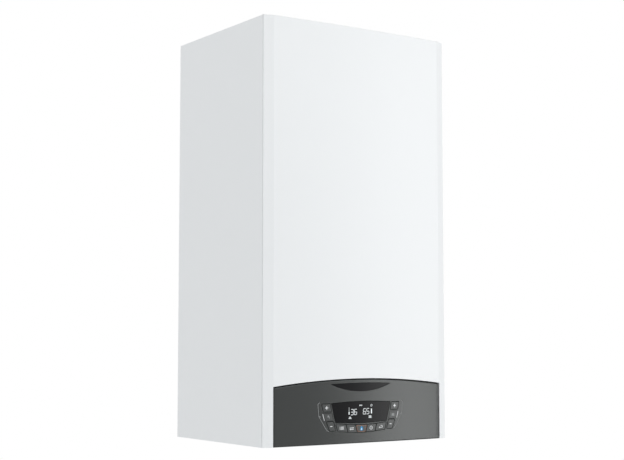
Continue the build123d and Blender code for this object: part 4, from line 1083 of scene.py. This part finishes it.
# %% [markdown]
# Most inner pieces are turned, bent or boxed, so three shapes make them. A turned body is
# a profile of (radius, distance) points spun about an axis. A pipe is a circle carried
# along straight runs and round bends. A box has rounded upright edges and soft rims.
# All three are closed shells, so that shells which run into each other read as one part.

# %% Turned bodies, pipes and boxes
round_steps = 48
RIGHT = (1, 0, 0)
UP = (0, 0, 1)
FORWARD = (0, -1, 0)
BACKWARD = (0, 1, 0)


def frame_of(direction):
    """Two directions square to a given one."""
    axis = Vector(direction).normalized()
    helper = Vector(UP) if abs(axis.z) < 0.9 else Vector(RIGHT)
    across = axis.cross(helper).normalized()
    return axis, across, axis.cross(across)


def softened(profile, radius, steps=3):
    """The profile with rounded corners, except at its ends on the axis."""
    closed = profile[0][0] > 1e-6
    points = []
    for i, corner in enumerate(profile):
        if not closed and i in (0, len(profile) - 1):
            points.append(corner)
            continue
        before, after = profile[i - 1], profile[(i + 1) % len(profile)]
        reach = min((Vector(corner) - Vector(before)).length, (Vector(corner) - Vector(after)).length) * 0.45
        to_before = (Vector(before) - Vector(corner)).normalized()
        to_after = (Vector(after) - Vector(corner)).normalized()
        half_opening = to_before.angle(to_after, math.pi) / 2
        points += rounded_corner(
            before, corner, after, min(radius, reach * math.tan(half_opening)), steps
        )
    return points


def add_turned(bm, origin, direction, profile, soft=0.6, steps=round_steps):
    """Spins a profile about an axis. A profile that starts off the axis is a closed ring."""
    axis, across, up = frame_of(direction)
    base = Vector(origin)
    line = softened(profile, soft) if soft else profile
    closed = profile[0][0] > 1e-6
    rings = []
    for radius, distance in line:
        centre = base + axis * distance
        if radius < 1e-6:
            rings.append([bm.verts.new(at(*centre))])
            continue
        ring = []
        for i in range(steps):
            turn = math.tau * i / steps
            ring.append(
                bm.verts.new(at(*(centre + (across * math.cos(turn) + up * math.sin(turn)) * radius)))
            )
        rings.append(ring)
    pairs = list(zip(rings, rings[1:]))
    if closed:
        pairs.append((rings[-1], rings[0]))
    for low, high in pairs:
        if len(low) == len(high) == steps:
            join_rings(bm, low, high)
            continue
        for i in range(steps):
            n = (i + 1) % steps
            if len(low) == 1 and len(high) == steps:
                bm.faces.new((low[0], high[n], high[i]))
            elif len(high) == 1 and len(low) == steps:
                bm.faces.new((low[i], low[n], high[0]))


def spokes(count, first=0.0):
    """Cosine and sine of equal turns round a circle, from a first angle in degrees."""
    turns = [math.radians(first) + math.tau * i / count for i in range(count)]
    return [(math.cos(turn), math.sin(turn)) for turn in turns]


def block(x0, z0, x1, z1):
    """The corners of a rectangle, anticlockwise."""
    return [(x0, z0), (x1, z0), (x1, z1), (x0, z1)]


def dress(name, mesh_data, slot, node, body="root"):
    """A finished piece that takes a CAD node's place and its slot's finish."""
    return make_piece(name, mesh_data, slot_finishes[slot], body, node, slot=slot)


def rod_profile(radius, length):
    """A plain round bar."""
    return [(0, 0), (radius, 0), (radius, length), (0, length)]


def ring_profile(outer, inner, length):
    """A plain tube."""
    return [(inner, 0), (outer, 0), (outer, length), (inner, length)]


def add_rod(bm, start, end, radius, bore=0.0, soft=0.6, steps=round_steps):
    """A round bar or tube between two points."""
    run = Vector(end) - Vector(start)
    profile = ring_profile(radius, bore, run.length) if bore else rod_profile(radius, run.length)
    add_turned(bm, start, run, profile, soft, steps)


def bent_path(points, bend, steps=8):
    """Straight runs joined by round bends, as one list of points."""
    path = [Vector(points[0])]
    for before, corner, after in zip(points, points[1:], points[2:]):
        corner = Vector(corner)
        back, on = (Vector(before) - corner).normalized(), (Vector(after) - corner).normalized()
        opening = back.angle(on)
        reach = bend / math.tan(opening / 2)
        hub = corner + (back + on).normalized() * bend / math.sin(opening / 2)
        start, end = corner + back * reach - hub, corner + on * reach - hub
        turn = math.pi - opening
        for i in range(steps + 1):
            share = turn * i / steps
            path.append(hub + (start * math.sin(turn - share) + end * math.sin(share)) / math.sin(turn))
    path.append(Vector(points[-1]))
    return path


def add_pipe(bm, points, radius, wall, bend, steps=32):
    """A pipe with open ends and a wall, along straight runs and bends."""
    path = bent_path(points, bend)
    axis, across, up = frame_of(path[1] - path[0])
    shells = ([], [])
    for i, spot in enumerate(path):
        ahead = path[min(i + 1, len(path) - 1)] - path[max(i - 1, 0)]
        heading = ahead.normalized()
        across = (across - heading * across.dot(heading)).normalized()
        up = heading.cross(across)
        for shell, size in zip(shells, (radius, radius - wall)):
            ring = []
            for k in range(steps):
                turn = math.tau * k / steps
                ring.append(
                    bm.verts.new(at(*(spot + (across * math.cos(turn) + up * math.sin(turn)) * size)))
                )
            shell.append(ring)
    outer, inner = shells
    for low, high in zip(outer, outer[1:]):
        join_rings(bm, low, high)
    for low, high in zip(inner, inner[1:]):
        join_rings(bm, high, low)
    join_rings(bm, inner[0], outer[0])
    join_rings(bm, outer[-1], inner[-1])


def add_prism(bm, outline, origin, direction, side, length, rim=0.8, steps=2):
    """An outline in a plane carried along a direction, with soft rims at both ends."""
    axis = Vector(direction).normalized()
    first = Vector(side).normalized()
    second = axis.cross(first)
    ring = list(outline)
    if area_of(ring) < 0:
        ring.reverse()
    turns = [math.radians(90) * i / steps for i in range(steps + 1)] if rim else [0.0]
    levels = [(rim * (1 - math.sin(t)), rim * (1 - math.cos(t))) for t in turns]
    levels = levels + [(inset, length - depth) for inset, depth in reversed(levels)]
    rings = []
    for inset, depth in levels:
        line = shifted(ring, inset) if inset > 1e-9 else ring
        spots = [Vector(origin) + first * a + second * b + axis * depth for a, b in line]
        rings.append([bm.verts.new(at(*spot)) for spot in spots])
    for low, high in zip(rings, rings[1:]):
        join_rings(bm, low, high)
    bm.faces.new(rings[0][::-1])
    bm.faces.new(rings[-1])


def add_box(bm, low, high, corner=3.0, rim=0.8, upright="z"):
    """A box between two corners with rounded edges along one axis and soft rims."""
    middle = [(a + b) / 2 for a, b in zip(low, high)]
    size = [abs(b - a) for a, b in zip(low, high)]
    across, along, direction, side = {
        "z": (0, 1, UP, RIGHT),
        "y": (2, 0, BACKWARD, UP),
        "x": (1, 2, RIGHT, BACKWARD),
    }[upright]
    axis = "xyz".index(upright)
    w, h = size[across] / 2, size[along] / 2
    corner = min(corner, w * 0.95, h * 0.95)
    outline = rounded_outline(block(-w, -h, w, h), corner, 4) if corner else block(-w, -h, w, h)
    origin = list(middle)
    origin[axis] = min(low[axis], high[axis])
    add_prism(
        bm, outline, origin, direction, side, size[axis],
        min(rim, size[axis] * 0.3, max(corner, 0.5) * 0.9)
    )


def add_nut(bm, centre, direction, radius, height, side=RIGHT):
    """A hexagon nut with its corners turned down."""
    outline = [
        (radius * math.cos(math.tau * i / 6), radius * math.sin(math.tau * i / 6)) for i in range(6)
    ]
    add_prism(bm, outline, centre, direction, side, height, 1.0)


# %% [markdown]
# The hot side hangs at the top right: a stainless drum with a cast door in front of it.
# The door carries the mixing elbow that comes up from the fan, ribs, nuts and the two
# ceramic electrodes. Their places repeat, so they are laid out on circles.

# %% Exchanger, door and electrodes
drum_x, drum_z = 60.0, 560.0
drum_radius = 112.0
band_height = 2.0
drum_back, drum_front = 40.0, 240.0
flue_y = -120.0
tail_y = -135.0
return_x = 134.0

drum = bmesh.new()
drum_profile = [(0, 0), (drum_radius, 0)]
for start in (40, 150):
    crest = drum_radius + band_height
    drum_profile += [(drum_radius, start), (crest, start + 1), (crest, start + 8), (drum_radius, start + 9)]
drum_profile += [(drum_radius, 194), (119, 194), (119, 200), (110, 200), (110, 2), (0, 2)]
add_turned(drum, (drum_x, -drum_back, drum_z), FORWARD, drum_profile, 0.8, 96)
spigot_z = 681.7
add_rod(drum, (0, flue_y, 640), (0, flue_y, spigot_z), 30.7, 28.3)
add_rod(drum, (-20, -110, 520), (-74, -110, 520), 13, 11)
add_rod(drum, (return_x, tail_y, 480), (return_x, tail_y, 450), 13, 11)
add_rod(drum, (drum_x, -56, 452), (drum_x, -56, 434), 12.75, 10.75)
for x in (-58, 178):
    add_box(drum, (x - 4, -170, drum_z - 12), (x + 4, -150, drum_z + 12), 2, 0.8, "y")
dress("exchanger_drum", drum, "stainless", "exchanger_body")

door_back = drum_front + 0.3
door_front = door_back + 10.0
door = bmesh.new()
door_profile = [(0, 0), (117, 0), (117, 6), (113, 10), (42, 10), (40, 12), (40, 36), (36, 40), (0, 40)]
add_turned(door, (drum_x, -door_back, drum_z), FORWARD, door_profile, 1.5, 96)
add_box(door, (drum_x - 23, -door_front - 30, 330), (drum_x + 23, -door_front + 1, drum_z), 6, 3)
for cosine, sine in spokes(8, 22.5):
    rib_base = (drum_x, -door_front + 1, drum_z)
    add_prism(door, block(36, -2, 108, 2), rib_base, FORWARD, (cosine, 0, sine), 6, 0.9)
for cosine, sine in spokes(6):
    nut_at = (drum_x + 109 * cosine, -door_front + 1, drum_z + 109 * sine)
    add_nut(door, nut_at, FORWARD, 7.0, 5)
dress("burner_door_casting", door, "cast_aluminium", "burner_door")

electrodes = bmesh.new()
for degrees in (135, 90):
    turn = math.radians(degrees)
    x, z = drum_x + 62 * math.cos(turn), drum_z + 62 * math.sin(turn)
    ceramic = [
        (0, 0), (4, 0), (4, 11), (8, 11), (8, 16), (4, 17), (4, 20), (3.4, 21), (4, 22), (3.4, 23),
        (4, 24), (4, 32), (0, 32)
    ]
    add_turned(electrodes, (x, -door_back, z), FORWARD, ceramic, 0.3, 32)
    add_rod(electrodes, (x, -200, z), (x, -door_back, z), 1.5, 0, 0.2, 16)
dress("electrode_ceramics", electrodes, "ceramic", "electrodes")
print("drum, door and electrodes made")

# %% [markdown]
# The fan stands under the door: a scroll with its eye below, a motor can above and the
# mixer under the eye, where air and gas meet. The scroll grows round its impeller and
# leaves straight to the front.

# %% Fan, motor and mixer
fan_x, fan_y = 17.0, -150.0
fan_low, fan_high = 330.0, 380.0


def scroll_line(grow):
    """Plan of the scroll and its outlet, from the mouth's left corner round the spiral."""
    spiral = []
    for i in range(49):
        turn = math.radians(270 * i / 48)
        reach = 55 + 11 * i / 48 + grow
        spiral.append((fan_x - reach * math.sin(turn), fan_y - reach * math.cos(turn)))
    mouth = -door_front + 1
    right = spiral[-1][0]
    return spiral + [(right, mouth), (right - 46 - 2 * grow, mouth)]


scroll = bmesh.new()
add_prism(scroll, scroll_line(0), (0, 0, fan_low), UP, RIGHT, fan_high - fan_low, 2.5, 3)
add_prism(scroll, scroll_line(3.5), (0, 0, fan_low + 23), UP, RIGHT, 3, 0.8)
for cosine, sine in spokes(6, 30):
    spot = (fan_x + 57 * cosine, fan_y + 57 * sine, fan_low + 19)
    add_rod(scroll, spot, (spot[0], spot[1], fan_low + 30), 3.2, 0, 0.5, 20)
dress("fan_scroll", scroll, "fan_metal", "fan_housing")

motor = bmesh.new()
can = [(0, 0), (44, 0), (44, 4), (36, 4), (36, 41), (31, 46), (10, 46), (9, 44.6), (0, 44.6)]
add_turned(motor, (fan_x, fan_y, fan_high), UP, can, 1.2)
add_box(motor, (fan_x - 12, fan_y - 46, fan_high + 8), (fan_x + 12, fan_y - 20, fan_high + 26), 2, 0.8)
for cosine, sine in spokes(12):
    rib_base = (fan_x, fan_y, fan_high + 8)
    add_prism(motor, block(30, -1, 37.2, 1), rib_base, UP, (cosine, sine, 0), 30, 0.5)
dress("fan_motor_can", motor, "black_plastic", "fan_motor")

mixer = bmesh.new()
mixer_line = [
    (26, 0), (40, 0), (40, -5), (32, -5), (28, -21), (32, -38), (36, -42), (32, -42), (25.2, -24),
    (25.2, -18)
]
add_turned(mixer, (fan_x, fan_y, fan_low), UP, mixer_line, 0.8)
add_rod(mixer, (fan_x + 27, fan_y, 309), (fan_x + 41, fan_y, 309), 12, 8)
dress("gas_air_mixer", mixer, "cast_aluminium", "venturi")
print("fan group made")

# %% [markdown]
# The gas valve is a cast block with two coils on its face. The expansion vessel is two
# pressed half shells with a crimped seam. Both have soft edges from casting and drawing.

# %% Gas valve and expansion vessel
valve = bmesh.new()
valve_front = tail_y - 33
add_box(valve, (-36, valve_front, 170), (36, tail_y + 33, 262), 8, 2, "y")
coil_big = [(0, 0), (17, 0), (17, 20), (14, 22), (14, 26), (0, 26)]
add_turned(valve, (-14, valve_front + 1, 234), FORWARD, coil_big, 1.0)
add_turned(
    valve, (18, valve_front + 1, 234), FORWARD, [(0, 0), (13, 0), (13, 16), (11, 19), (0, 19)], 1.0
)
add_box(valve, (-30, valve_front - 14, 178), (30, valve_front + 1, 204), 3, 1.2, "y")
add_rod(valve, (0, tail_y, 158), (0, tail_y, 172), 13.5, 7.5)
add_rod(valve, (30, fan_y, 238), (46, fan_y, 238), 12, 8)
for x in (-26, 0, 26):
    add_turned(valve, (x, valve_front + 1, 216), FORWARD, rod_profile(3, 2.5), 0.5, 24)
dress("gas_valve_casting", valve, "cast_aluminium", "gas_valve")

vessel = bmesh.new()
vessel_left, vessel_middle = -194.0, 527.0
vessel_line = rounded_outline(block(-110, -195, 110, 195), 60, 12)
seam_line = rounded_outline(block(-116, -201, 116, 201), 66, 12)
add_prism(vessel, vessel_line, (vessel_left, -142, vessel_middle), RIGHT, BACKWARD, 90, 22, 8)
add_prism(vessel, seam_line, (vessel_left + 43, -142, vessel_middle), RIGHT, BACKWARD, 4, 1.6)
add_rod(vessel, (-149, -142, 318), (-149, -142, 336), 9, 4)
add_nut(vessel, (-149, -142, 320), UP, 12, 8)
add_turned(vessel, (-149, -72, 712), UP, [(0, 0), (5, 0), (5, 15), (4, 17), (0, 17)], 0.8, 24)
dress("expansion_vessel_shells", vessel, "red_vessel", "expansion_vessel")
print("valve and vessel made")

# %% [markdown]
# The pump's volute is moulded in one with its return block. Its motor can has cooling
# ribs round its nose and a terminal box on top, and an air vent sits beside it.

# %% Pump
pump_z = 168.0
volute_front = tail_y - 17
pump = bmesh.new()
volute = [(0, 0), (39, 0), (42, 3), (42, 31), (39, 34), (0, 34)]
add_turned(pump, (return_x, tail_y + 17, pump_z), FORWARD, volute, 1.5)
add_rod(pump, (return_x, tail_y, pump_z), (return_x, tail_y, 226), 16, 11)
add_box(pump, (return_x - 20, volute_front, 72), (return_x + 20, tail_y + 17, 148), 7, 1.5)
add_box(pump, (return_x, tail_y - 12, 182), (192, tail_y + 12, 212), 4, 1.5)
add_rod(pump, (return_x - 18, tail_y, 96), (return_x - 44, tail_y, 96), 10, 0, 1)
for cosine, sine in spokes(4, 45):
    spot = (return_x + 36 * cosine, volute_front + 10, pump_z + 36 * sine)
    add_rod(pump, spot, (spot[0], tail_y + 16, spot[2]), 6, 0, 1, 24)
dress("pump_volute", pump, "grey_composite", "pump_body")

pump_can = bmesh.new()
can_line = [(0, 0), (47, 0), (47, 6), (44, 6), (44, 67), (37, 74), (10, 74), (10, 78), (0, 78)]
add_turned(pump_can, (return_x, volute_front, pump_z), FORWARD, can_line, 1.4, 64)
add_box(
    pump_can, (return_x - 30, volute_front - 58, pump_z), (return_x + 30, volute_front - 14, pump_z + 60),
    4, 2
)
for cosine, sine in spokes(16):
    fin_base = (return_x, volute_front - 60, pump_z)
    add_prism(pump_can, block(38, -0.9, 44.9, 0.9), fin_base, BACKWARD, (cosine, 0, sine), 44, 0.4)
add_prism(
    pump_can, block(-6, -0.8, 6, 0.8), (return_x, volute_front - 78.2, pump_z), BACKWARD, RIGHT, 1, 0.2
)
dress("pump_motor_can", pump_can, "black_plastic", "pump_motor")

vent = bmesh.new()
vent_line = [(0, 0), (13, 0), (13, 38), (9, 42), (5, 42), (5, 46), (7, 46), (7, 56), (0, 56)]
add_turned(vent, (180, tail_y, 212), UP, vent_line, 0.7)
add_nut(vent, (180, tail_y, 212), UP, 13.5, 7)
dress("air_vent_bottle", vent, "brass", "air_vent")

drain = bmesh.new()
add_turned(drain, (89.7, tail_y, 96), (-1, 0, 0), [(0, 0), (8, 0), (8, 4), (6.5, 6), (0, 6)], 0.6, 32)
add_box(drain, (73.7, tail_y - 5, 91), (84.2, tail_y + 5, 101), 1, 0.6, "x")
dress("drain_tap_knob", drain, "black_plastic", "drain_knob", "drain_knob")
print("pump group made")

# %% [markdown]
# Water and gas run in drawn tubes with round bends and hexagon unions. The bends are
# true arcs here, while the CAD frame keeps each bend as a few mitred pieces.

# %% Pipes and unions


def pipe_piece(name, points, radius, wall, bend, finish_name, node, nuts=()):
    """A pipe with its union nuts as one piece."""
    bm = bmesh.new()
    add_pipe(bm, points, radius, wall, bend)
    for spot in nuts:
        add_nut(bm, spot, UP, radius + 6, 14)
    dress(name, bm, finish_name, node)


pipe_piece("return_tube", [(134, tail_y, 226), (134, tail_y, 450)], 11, 1, 20, "copper", "return_pipe",
           [(134, tail_y, 226), (134, tail_y, 436)])
flow_points = [(-74, -110, 520), (-91, -110, 520), (-91, -110, 250), (-126, -121, 220), (-126, -121, 158)]
pipe_piece("flow_tube", flow_points, 11, 1, 14, "copper", "flow_pipe", [(-126, -121, 158)])
vessel_points = [(-149, -142, 318), (-149, -142, 272), (-149, -156, 242), (-149, -156, 158)]
pipe_piece("vessel_tube", vessel_points, 6, 1, 16, "copper", "vessel_pipe")
feed_points = [(46, fan_y, 238), (84, fan_y, 238), (84, fan_y, 309), (58, fan_y, 309)]
pipe_piece("gas_feed_tube", feed_points, 8, 1, 16, "gas_pipe_steel", "gas_feed_pipe")
trap_points = [(60, -56, 434), (60, -56, 390), (-67, -56, 324), (-67, -56, 230)]
pipe_piece("trap_tube", trap_points, 10.75, 1.5, 26, "trap_plastic", "trap_pipe")


def tail_profile(radius, top):
    """A pipe tail with its thicker shoulder."""
    inner = radius - 1
    return [
        (inner, 2), (radius, 2), (radius, 48), (radius + 1.5, 48.6), (radius + 1.5, top), (inner, top)
    ]


water = bmesh.new()
for x in (-134, 134):
    add_turned(water, (x, tail_y, 0), UP, tail_profile(11, 72), 0.4)
dress("water_tail_tubes", water, "copper", "water_tails")
discharge = bmesh.new()
add_turned(discharge, (-134, -187, 0), UP, tail_profile(7.5, 102), 0.3)
dress("discharge_tube", discharge, "copper", "discharge_pipe")
gas_inlet = bmesh.new()
add_turned(gas_inlet, (0, tail_y, 0), UP, tail_profile(7.5, 160), 0.3)
dress("gas_inlet_tube", gas_inlet, "gas_pipe_steel", "gas_inlet_pipe")
print("pipes made")

# %% [markdown]
# The flow block is a moulded manifold. A safety valve with a red fluted cap screws into
# its front, and the condensate trap is a moulded bottle with a screwed foot.

# %% Flow block, safety valve and trap
flow_x = -134.0
relief_z = 124.0
flow_block = bmesh.new()
add_box(flow_block, (-163, tail_y - 33, 72), (-105, tail_y + 33, 150), 8, 2)
add_turned(flow_block, (flow_x, tail_y - 32, relief_z), FORWARD, rod_profile(14, 7), 0.8)
add_turned(flow_block, (-126, -121, 149), UP, rod_profile(16, 9), 0.8)
add_turned(flow_block, (-149, -156, 149), UP, rod_profile(9, 9), 0.8)
for z in (84, 96, 138):
    add_box(flow_block, (-156, tail_y - 34.2, z), (-112, tail_y - 32, z + 2), 0.8, 0.5, "y")
dress("flow_manifold", flow_block, "grey_composite", "flow_block")

safety = bmesh.new()
body_line = [(0, 0), (12, 0), (12, 18), (15, 18.6), (15, 26), (0, 26)]
add_turned(safety, (flow_x, -174, relief_z), FORWARD, body_line, 0.6)
add_rod(safety, (flow_x, -187, relief_z - 4), (flow_x, -187, relief_z - 22), 11.5, 7.5)
add_nut(safety, (flow_x, -174, relief_z), FORWARD, 14, 7)
dress("safety_valve_body", safety, "brass", "relief_valve")


def fluted(radius, depth, count, steps):
    """A circle with hollows cut round it."""
    points = []
    for i in range(steps):
        turn = math.tau * i / steps
        dip = max(0.0, math.cos(turn * count)) ** 2
        points.append(((radius - depth * dip) * math.cos(turn), (radius - depth * dip) * math.sin(turn)))
    return points


cap = bmesh.new()
add_prism(cap, fluted(13.9, 1.9, 8, 128), (flow_x, -200.3, relief_z), FORWARD, RIGHT, 14, 1.2, 3)
dress("safety_valve_cap", cap, "red_plastic", "relief_knob", "relief_knob")

trap = bmesh.new()
bottle = [(0, 96), (29, 96), (29, 112), (26, 112.6), (26, 206), (18, 214), (13, 214), (13, 230), (0, 230)]
add_turned(trap, (-67, -56, 0), UP, bottle, 1.2, 64)
for cosine, sine in spokes(24):
    add_prism(trap, block(27, -1, 29, 1), (-67, -56, 98), UP, (cosine, sine, 0), 12, 0.3)
add_turned(trap, (-67, -56, 0), UP, tail_profile(10.75, 97), 0.4)
dress("condensate_bottle", trap, "trap_plastic", "condensate_trap")
print("hydraulic group made")

# %% [markdown]
# The top carries the flue turret, a concentric plastic socket with webs and two test
# points, and the cover plate of the unused air inlet. Sheet screws hold both.

# %% Flue turret, caps and cover plate
turret_base = 745.2
turret = bmesh.new()
outer_socket = [(50.3, turret_base), (74, turret_base), (74, 748.2), (54, 748.2)]
outer_socket += [(52.9, 751), (52.9, 771), (50.3, 771)]
inner_socket = [(28.3, 699.7), (32.9, 699.7), (32.9, 769), (30.3, 769), (30.3, 712.7), (28.3, 712.7)]
add_turned(turret, (0, flue_y, 0), UP, outer_socket, 0.8, 96)
add_turned(turret, (0, flue_y, 0), UP, inner_socket, 0.5, 96)
for cosine, sine in spokes(4, 45):
    add_prism(turret, block(31.5, -1, 51.2, 1), (0, flue_y, turret_base), UP, (cosine, sine, 0), 10, 0.4)
for side in (-1, 1):
    add_turned(
        turret, (side * 18, flue_y - 62.5, 0), UP, [(5, 747.2), (8, 747.2), (8, 754.2), (5, 754.2)], 0.5,
        32
    )
dress("flue_turret_socket", turret, "white_plastic", "flue_turret")

caps = bmesh.new()
for side in (-1, 1):
    x, y = side * 18, flue_y - 62.5
    add_turned(
        caps, (x, y, 748.2), UP, [(0, 0), (4.8, 0), (4.8, 6), (7, 6), (7, 9), (6, 10), (0, 10)], 0.5, 32
    )
    add_box(caps, (x - 1.5, y - 6, 757.9), (x + 1.5, y + 6, 760.2), 1, 0.5)
dress("test_point_caps", caps, "rubber_seal", "sampling_caps")

cover_x, cover_y = -128, -205
cover = bmesh.new()
dish = [(0, 0), (42, 0), (42, 2), (31, 2), (29, 3.4), (27, 4), (0, 4)]
add_turned(cover, (cover_x, cover_y, 743.7), UP, dish, 0.7, 96)
dress("air_inlet_cover", cover, "white_steel", "air_blanking_plate")
print("top made")

# %% [markdown]
# The sheet screws of the top repeat, so they are instances: a small Geometry Nodes tree
# puts one screw, with its domed head and cross recess, on every point of a point cloud.

# %% Casing screws
screw_points = [(66 * cosine, flue_y + 66 * sine, turret_base + 3) for cosine, sine in spokes(4)]
screw_points += [(cover_x + 36 * cosine, cover_y + 36 * sine, 745.7) for cosine, sine in spokes(3, 90)]


def screw_mesh():
    """One pan-head screw at the origin, with a cross recess."""
    bm = bmesh.new()
    head = [(0, 0), (3.6, 0), (3.6, 1.0), (3.1, 1.7), (2.2, 2.15), (0, 2.2)]
    lift = (0, 0, -foot / MM)
    add_turned(bm, lift, UP, head, 0.15, 32)
    for across in (RIGHT, BACKWARD):
        add_prism(bm, block(-1.7, -0.3, 1.7, 0.3), (0, 0, 2.1 + lift[2]), UP, across, 0.11, 0.04, 1)
    mesh = bpy.data.meshes.new("pan_screw")
    bm.to_mesh(mesh)
    bm.free()
    mesh.polygons.foreach_set("use_smooth", [True] * len(mesh.polygons))
    mesh.set_sharp_from_angle(angle=math.radians(35))
    return mesh


def scatter_tree(name, paint):
    """A node tree that puts an object on each point and gives all copies one finish."""
    tree = bpy.data.node_groups.new(name, "GeometryNodeTree")
    sockets = [
        ("Geometry", "NodeSocketGeometry", "INPUT"),
        ("Piece", "NodeSocketObject", "INPUT"),
        ("Turn", "NodeSocketFloat", "INPUT"),
        ("Geometry", "NodeSocketGeometry", "OUTPUT"),
    ]
    for label, kind, way in sockets:
        tree.interface.new_socket(label, in_out=way, socket_type=kind)
    ways = {
        "in": "NodeGroupInput",
        "out": "NodeGroupOutput",
        "piece": "GeometryNodeObjectInfo",
        "copies": "GeometryNodeInstanceOnPoints",
        "turn": "FunctionNodeRandomValue",
        "real": "GeometryNodeRealizeInstances",
        "paint": "GeometryNodeSetMaterial",
        "join": "ShaderNodeCombineXYZ",
    }
    node = {key: tree.nodes.new(kind) for key, kind in ways.items()}
    node["turn"].data_type = "FLOAT"
    node["turn"].inputs["Seed"].default_value = 7
    node["paint"].inputs["Material"].default_value = paint
    link = tree.links.new
    link(node["in"].outputs["Geometry"], node["copies"].inputs["Points"])
    link(node["in"].outputs["Piece"], node["piece"].inputs["Object"])
    link(node["piece"].outputs["Geometry"], node["copies"].inputs["Instance"])
    link(node["in"].outputs["Turn"], node["turn"].inputs["Max"])
    link(node["turn"].outputs["Value"], node["join"].inputs["Z"])
    link(node["join"].outputs[0], node["copies"].inputs["Rotation"])
    link(node["copies"].outputs[0], node["real"].inputs[0])
    link(node["real"].outputs[0], node["paint"].inputs["Geometry"])
    link(node["paint"].outputs[0], node["out"].inputs[0])
    return tree


def scatter(name, points, piece_mesh, paint, turn):
    """Copies of a mesh on points, as one finished mesh."""
    source = bpy.data.objects.new(name + "_source", piece_mesh)
    spots = bpy.data.meshes.new(name + "_points")
    spots.from_pydata([at(*point) for point in points], [], [])
    carrier = bpy.data.objects.new(name + "_carrier", spots)
    for made in (source, carrier):
        bpy.context.collection.objects.link(made)
    tree = scatter_tree(name + "_tree", paint)
    modifier = carrier.modifiers.new("scatter", "NODES")
    modifier.node_group = tree
    sockets = {item.name: item.identifier for item in tree.interface.items_tree if item.in_out == "INPUT"}
    modifier[sockets["Piece"]] = source
    modifier[sockets["Turn"]] = turn
    bpy.context.view_layer.update()
    depsgraph = bpy.context.evaluated_depsgraph_get()
    mesh = bpy.data.meshes.new_from_object(carrier.evaluated_get(depsgraph))
    bpy.data.objects.remove(carrier)
    bpy.data.objects.remove(source)
    made = bpy.data.objects.new(name, mesh)
    bpy.context.collection.objects.link(made)
    return made


screws = scatter("top_screws", screw_points, screw_mesh(), slot_finishes["galvanised_steel"], 3.1)
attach(screws, "root")
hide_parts("casing_screws")
print("screws:", len(screw_points), "faces:", len(screws.data.polygons))

# %% [markdown]
# Two wheels turn inside: the fan's impeller with its backward blades between a plate and
# a shroud ring, and the pump's closed impeller. Both ride on their own bodies.

# %% Impellers
wheel = bmesh.new()
wheel_low, wheel_high = 338.0, 370.0
add_turned(wheel, (fan_x, fan_y, wheel_high - 2), UP, rod_profile(47, 2), 0.3, 96)
add_turned(wheel, (fan_x, fan_y, wheel_low), UP, ring_profile(47, 33, 2), 0.3, 96)
add_turned(wheel, (fan_x, fan_y, wheel_low + 8), UP, [(0, 0), (9, 0), (12, 3), (12, 24), (0, 24)], 0.8)
for i in range(12):
    turn = math.tau * i / 12
    middle = (fan_x + 37.5 * math.cos(turn), fan_y + 37.5 * math.sin(turn), wheel_low + 1)
    lean = turn + math.radians(35)
    blade = [(8.6 * k / 6, 1.1 - 1.6 * (k / 6) ** 2) for k in range(-6, 7)]
    blade += [(x, z - 1.1) for x, z in reversed(blade)]
    add_prism(wheel, blade, middle, UP, (math.cos(lean), math.sin(lean), 0), 30, 0.2, 1)
add_rod(wheel, (fan_x, fan_y, wheel_low + 10), (fan_x, fan_y, fan_high + 22), 4, 0, 0.4)
dress("fan_wheel", wheel, "moving_plastic", "fan_impeller", "fan_impeller")
pump_wheel = bmesh.new()
add_turned(
    pump_wheel, (return_x, tail_y - 4, pump_z), FORWARD, [(0, 0), (24, 0), (28, 1), (28, 2.6), (0, 2.6)],
    0.3, 64
)
add_turned(pump_wheel, (return_x, tail_y - 9.4, pump_z), FORWARD, rod_profile(28, 2.6), 0.3, 64)
add_turned(pump_wheel, (return_x, tail_y + 2, pump_z), FORWARD, ring_profile(12, 9, 6.2), 0.3)
add_rod(pump_wheel, (return_x, tail_y - 4, pump_z), (return_x, volute_front - 30, pump_z), 4, 0, 0.4)
for i in range(6):
    turn = math.radians(60 * i + 30)
    away = (math.cos(turn), 0, math.sin(turn))
    vane = [(11 + 2.7 * k, 1.8 * math.sin(k * 0.5)) for k in range(7)]
    vane += [(x, z - 1.6) for x, z in reversed(vane)]
    add_prism(pump_wheel, vane, (return_x, tail_y - 6.4, pump_z), FORWARD, away, 3.2, 0.1, 1)
dress("pump_wheel", pump_wheel, "moving_plastic", "pump_impeller", "pump_impeller")
print("wheels made")

# %% [markdown]
# The rubber grommets and the hinge pins are turned parts too.

# %% Grommets and pins
grommets = bmesh.new()
tail_places = [(-134, -135, 11), (-67, -56, 10.75), (0, -135, 7.5), (134, -135, 11), (-134, -187, 7.5)]
for x, y, radius in tail_places:
    bore, outer = radius + 1.65, radius + 5.3
    line = [
        (bore, 55), (outer, 55), (outer, 59.4), (outer + 2.5, 59.4), (outer + 2.5, 62.2), (bore, 62.2)
    ]
    add_turned(grommets, (x, y, 0), UP, line, 0.5)
dress("grommet_rings", grommets, "rubber_seal", "pipe_grommets")
pins = bmesh.new()
for side in (-1, 1):
    add_rod(pins, (side * 167, -226, 11), (side * 197.6, -226, 11), 3, 0, 0.6, 32)
    add_rod(pins, (side * 178.6, -226, 11), (side * 196.1, -226, 11), 5, 0, 0.5, 32)
dress("hinge_pin_pair", pins, "galvanised_steel", "hinge_pins")
print("grommets and pins made")
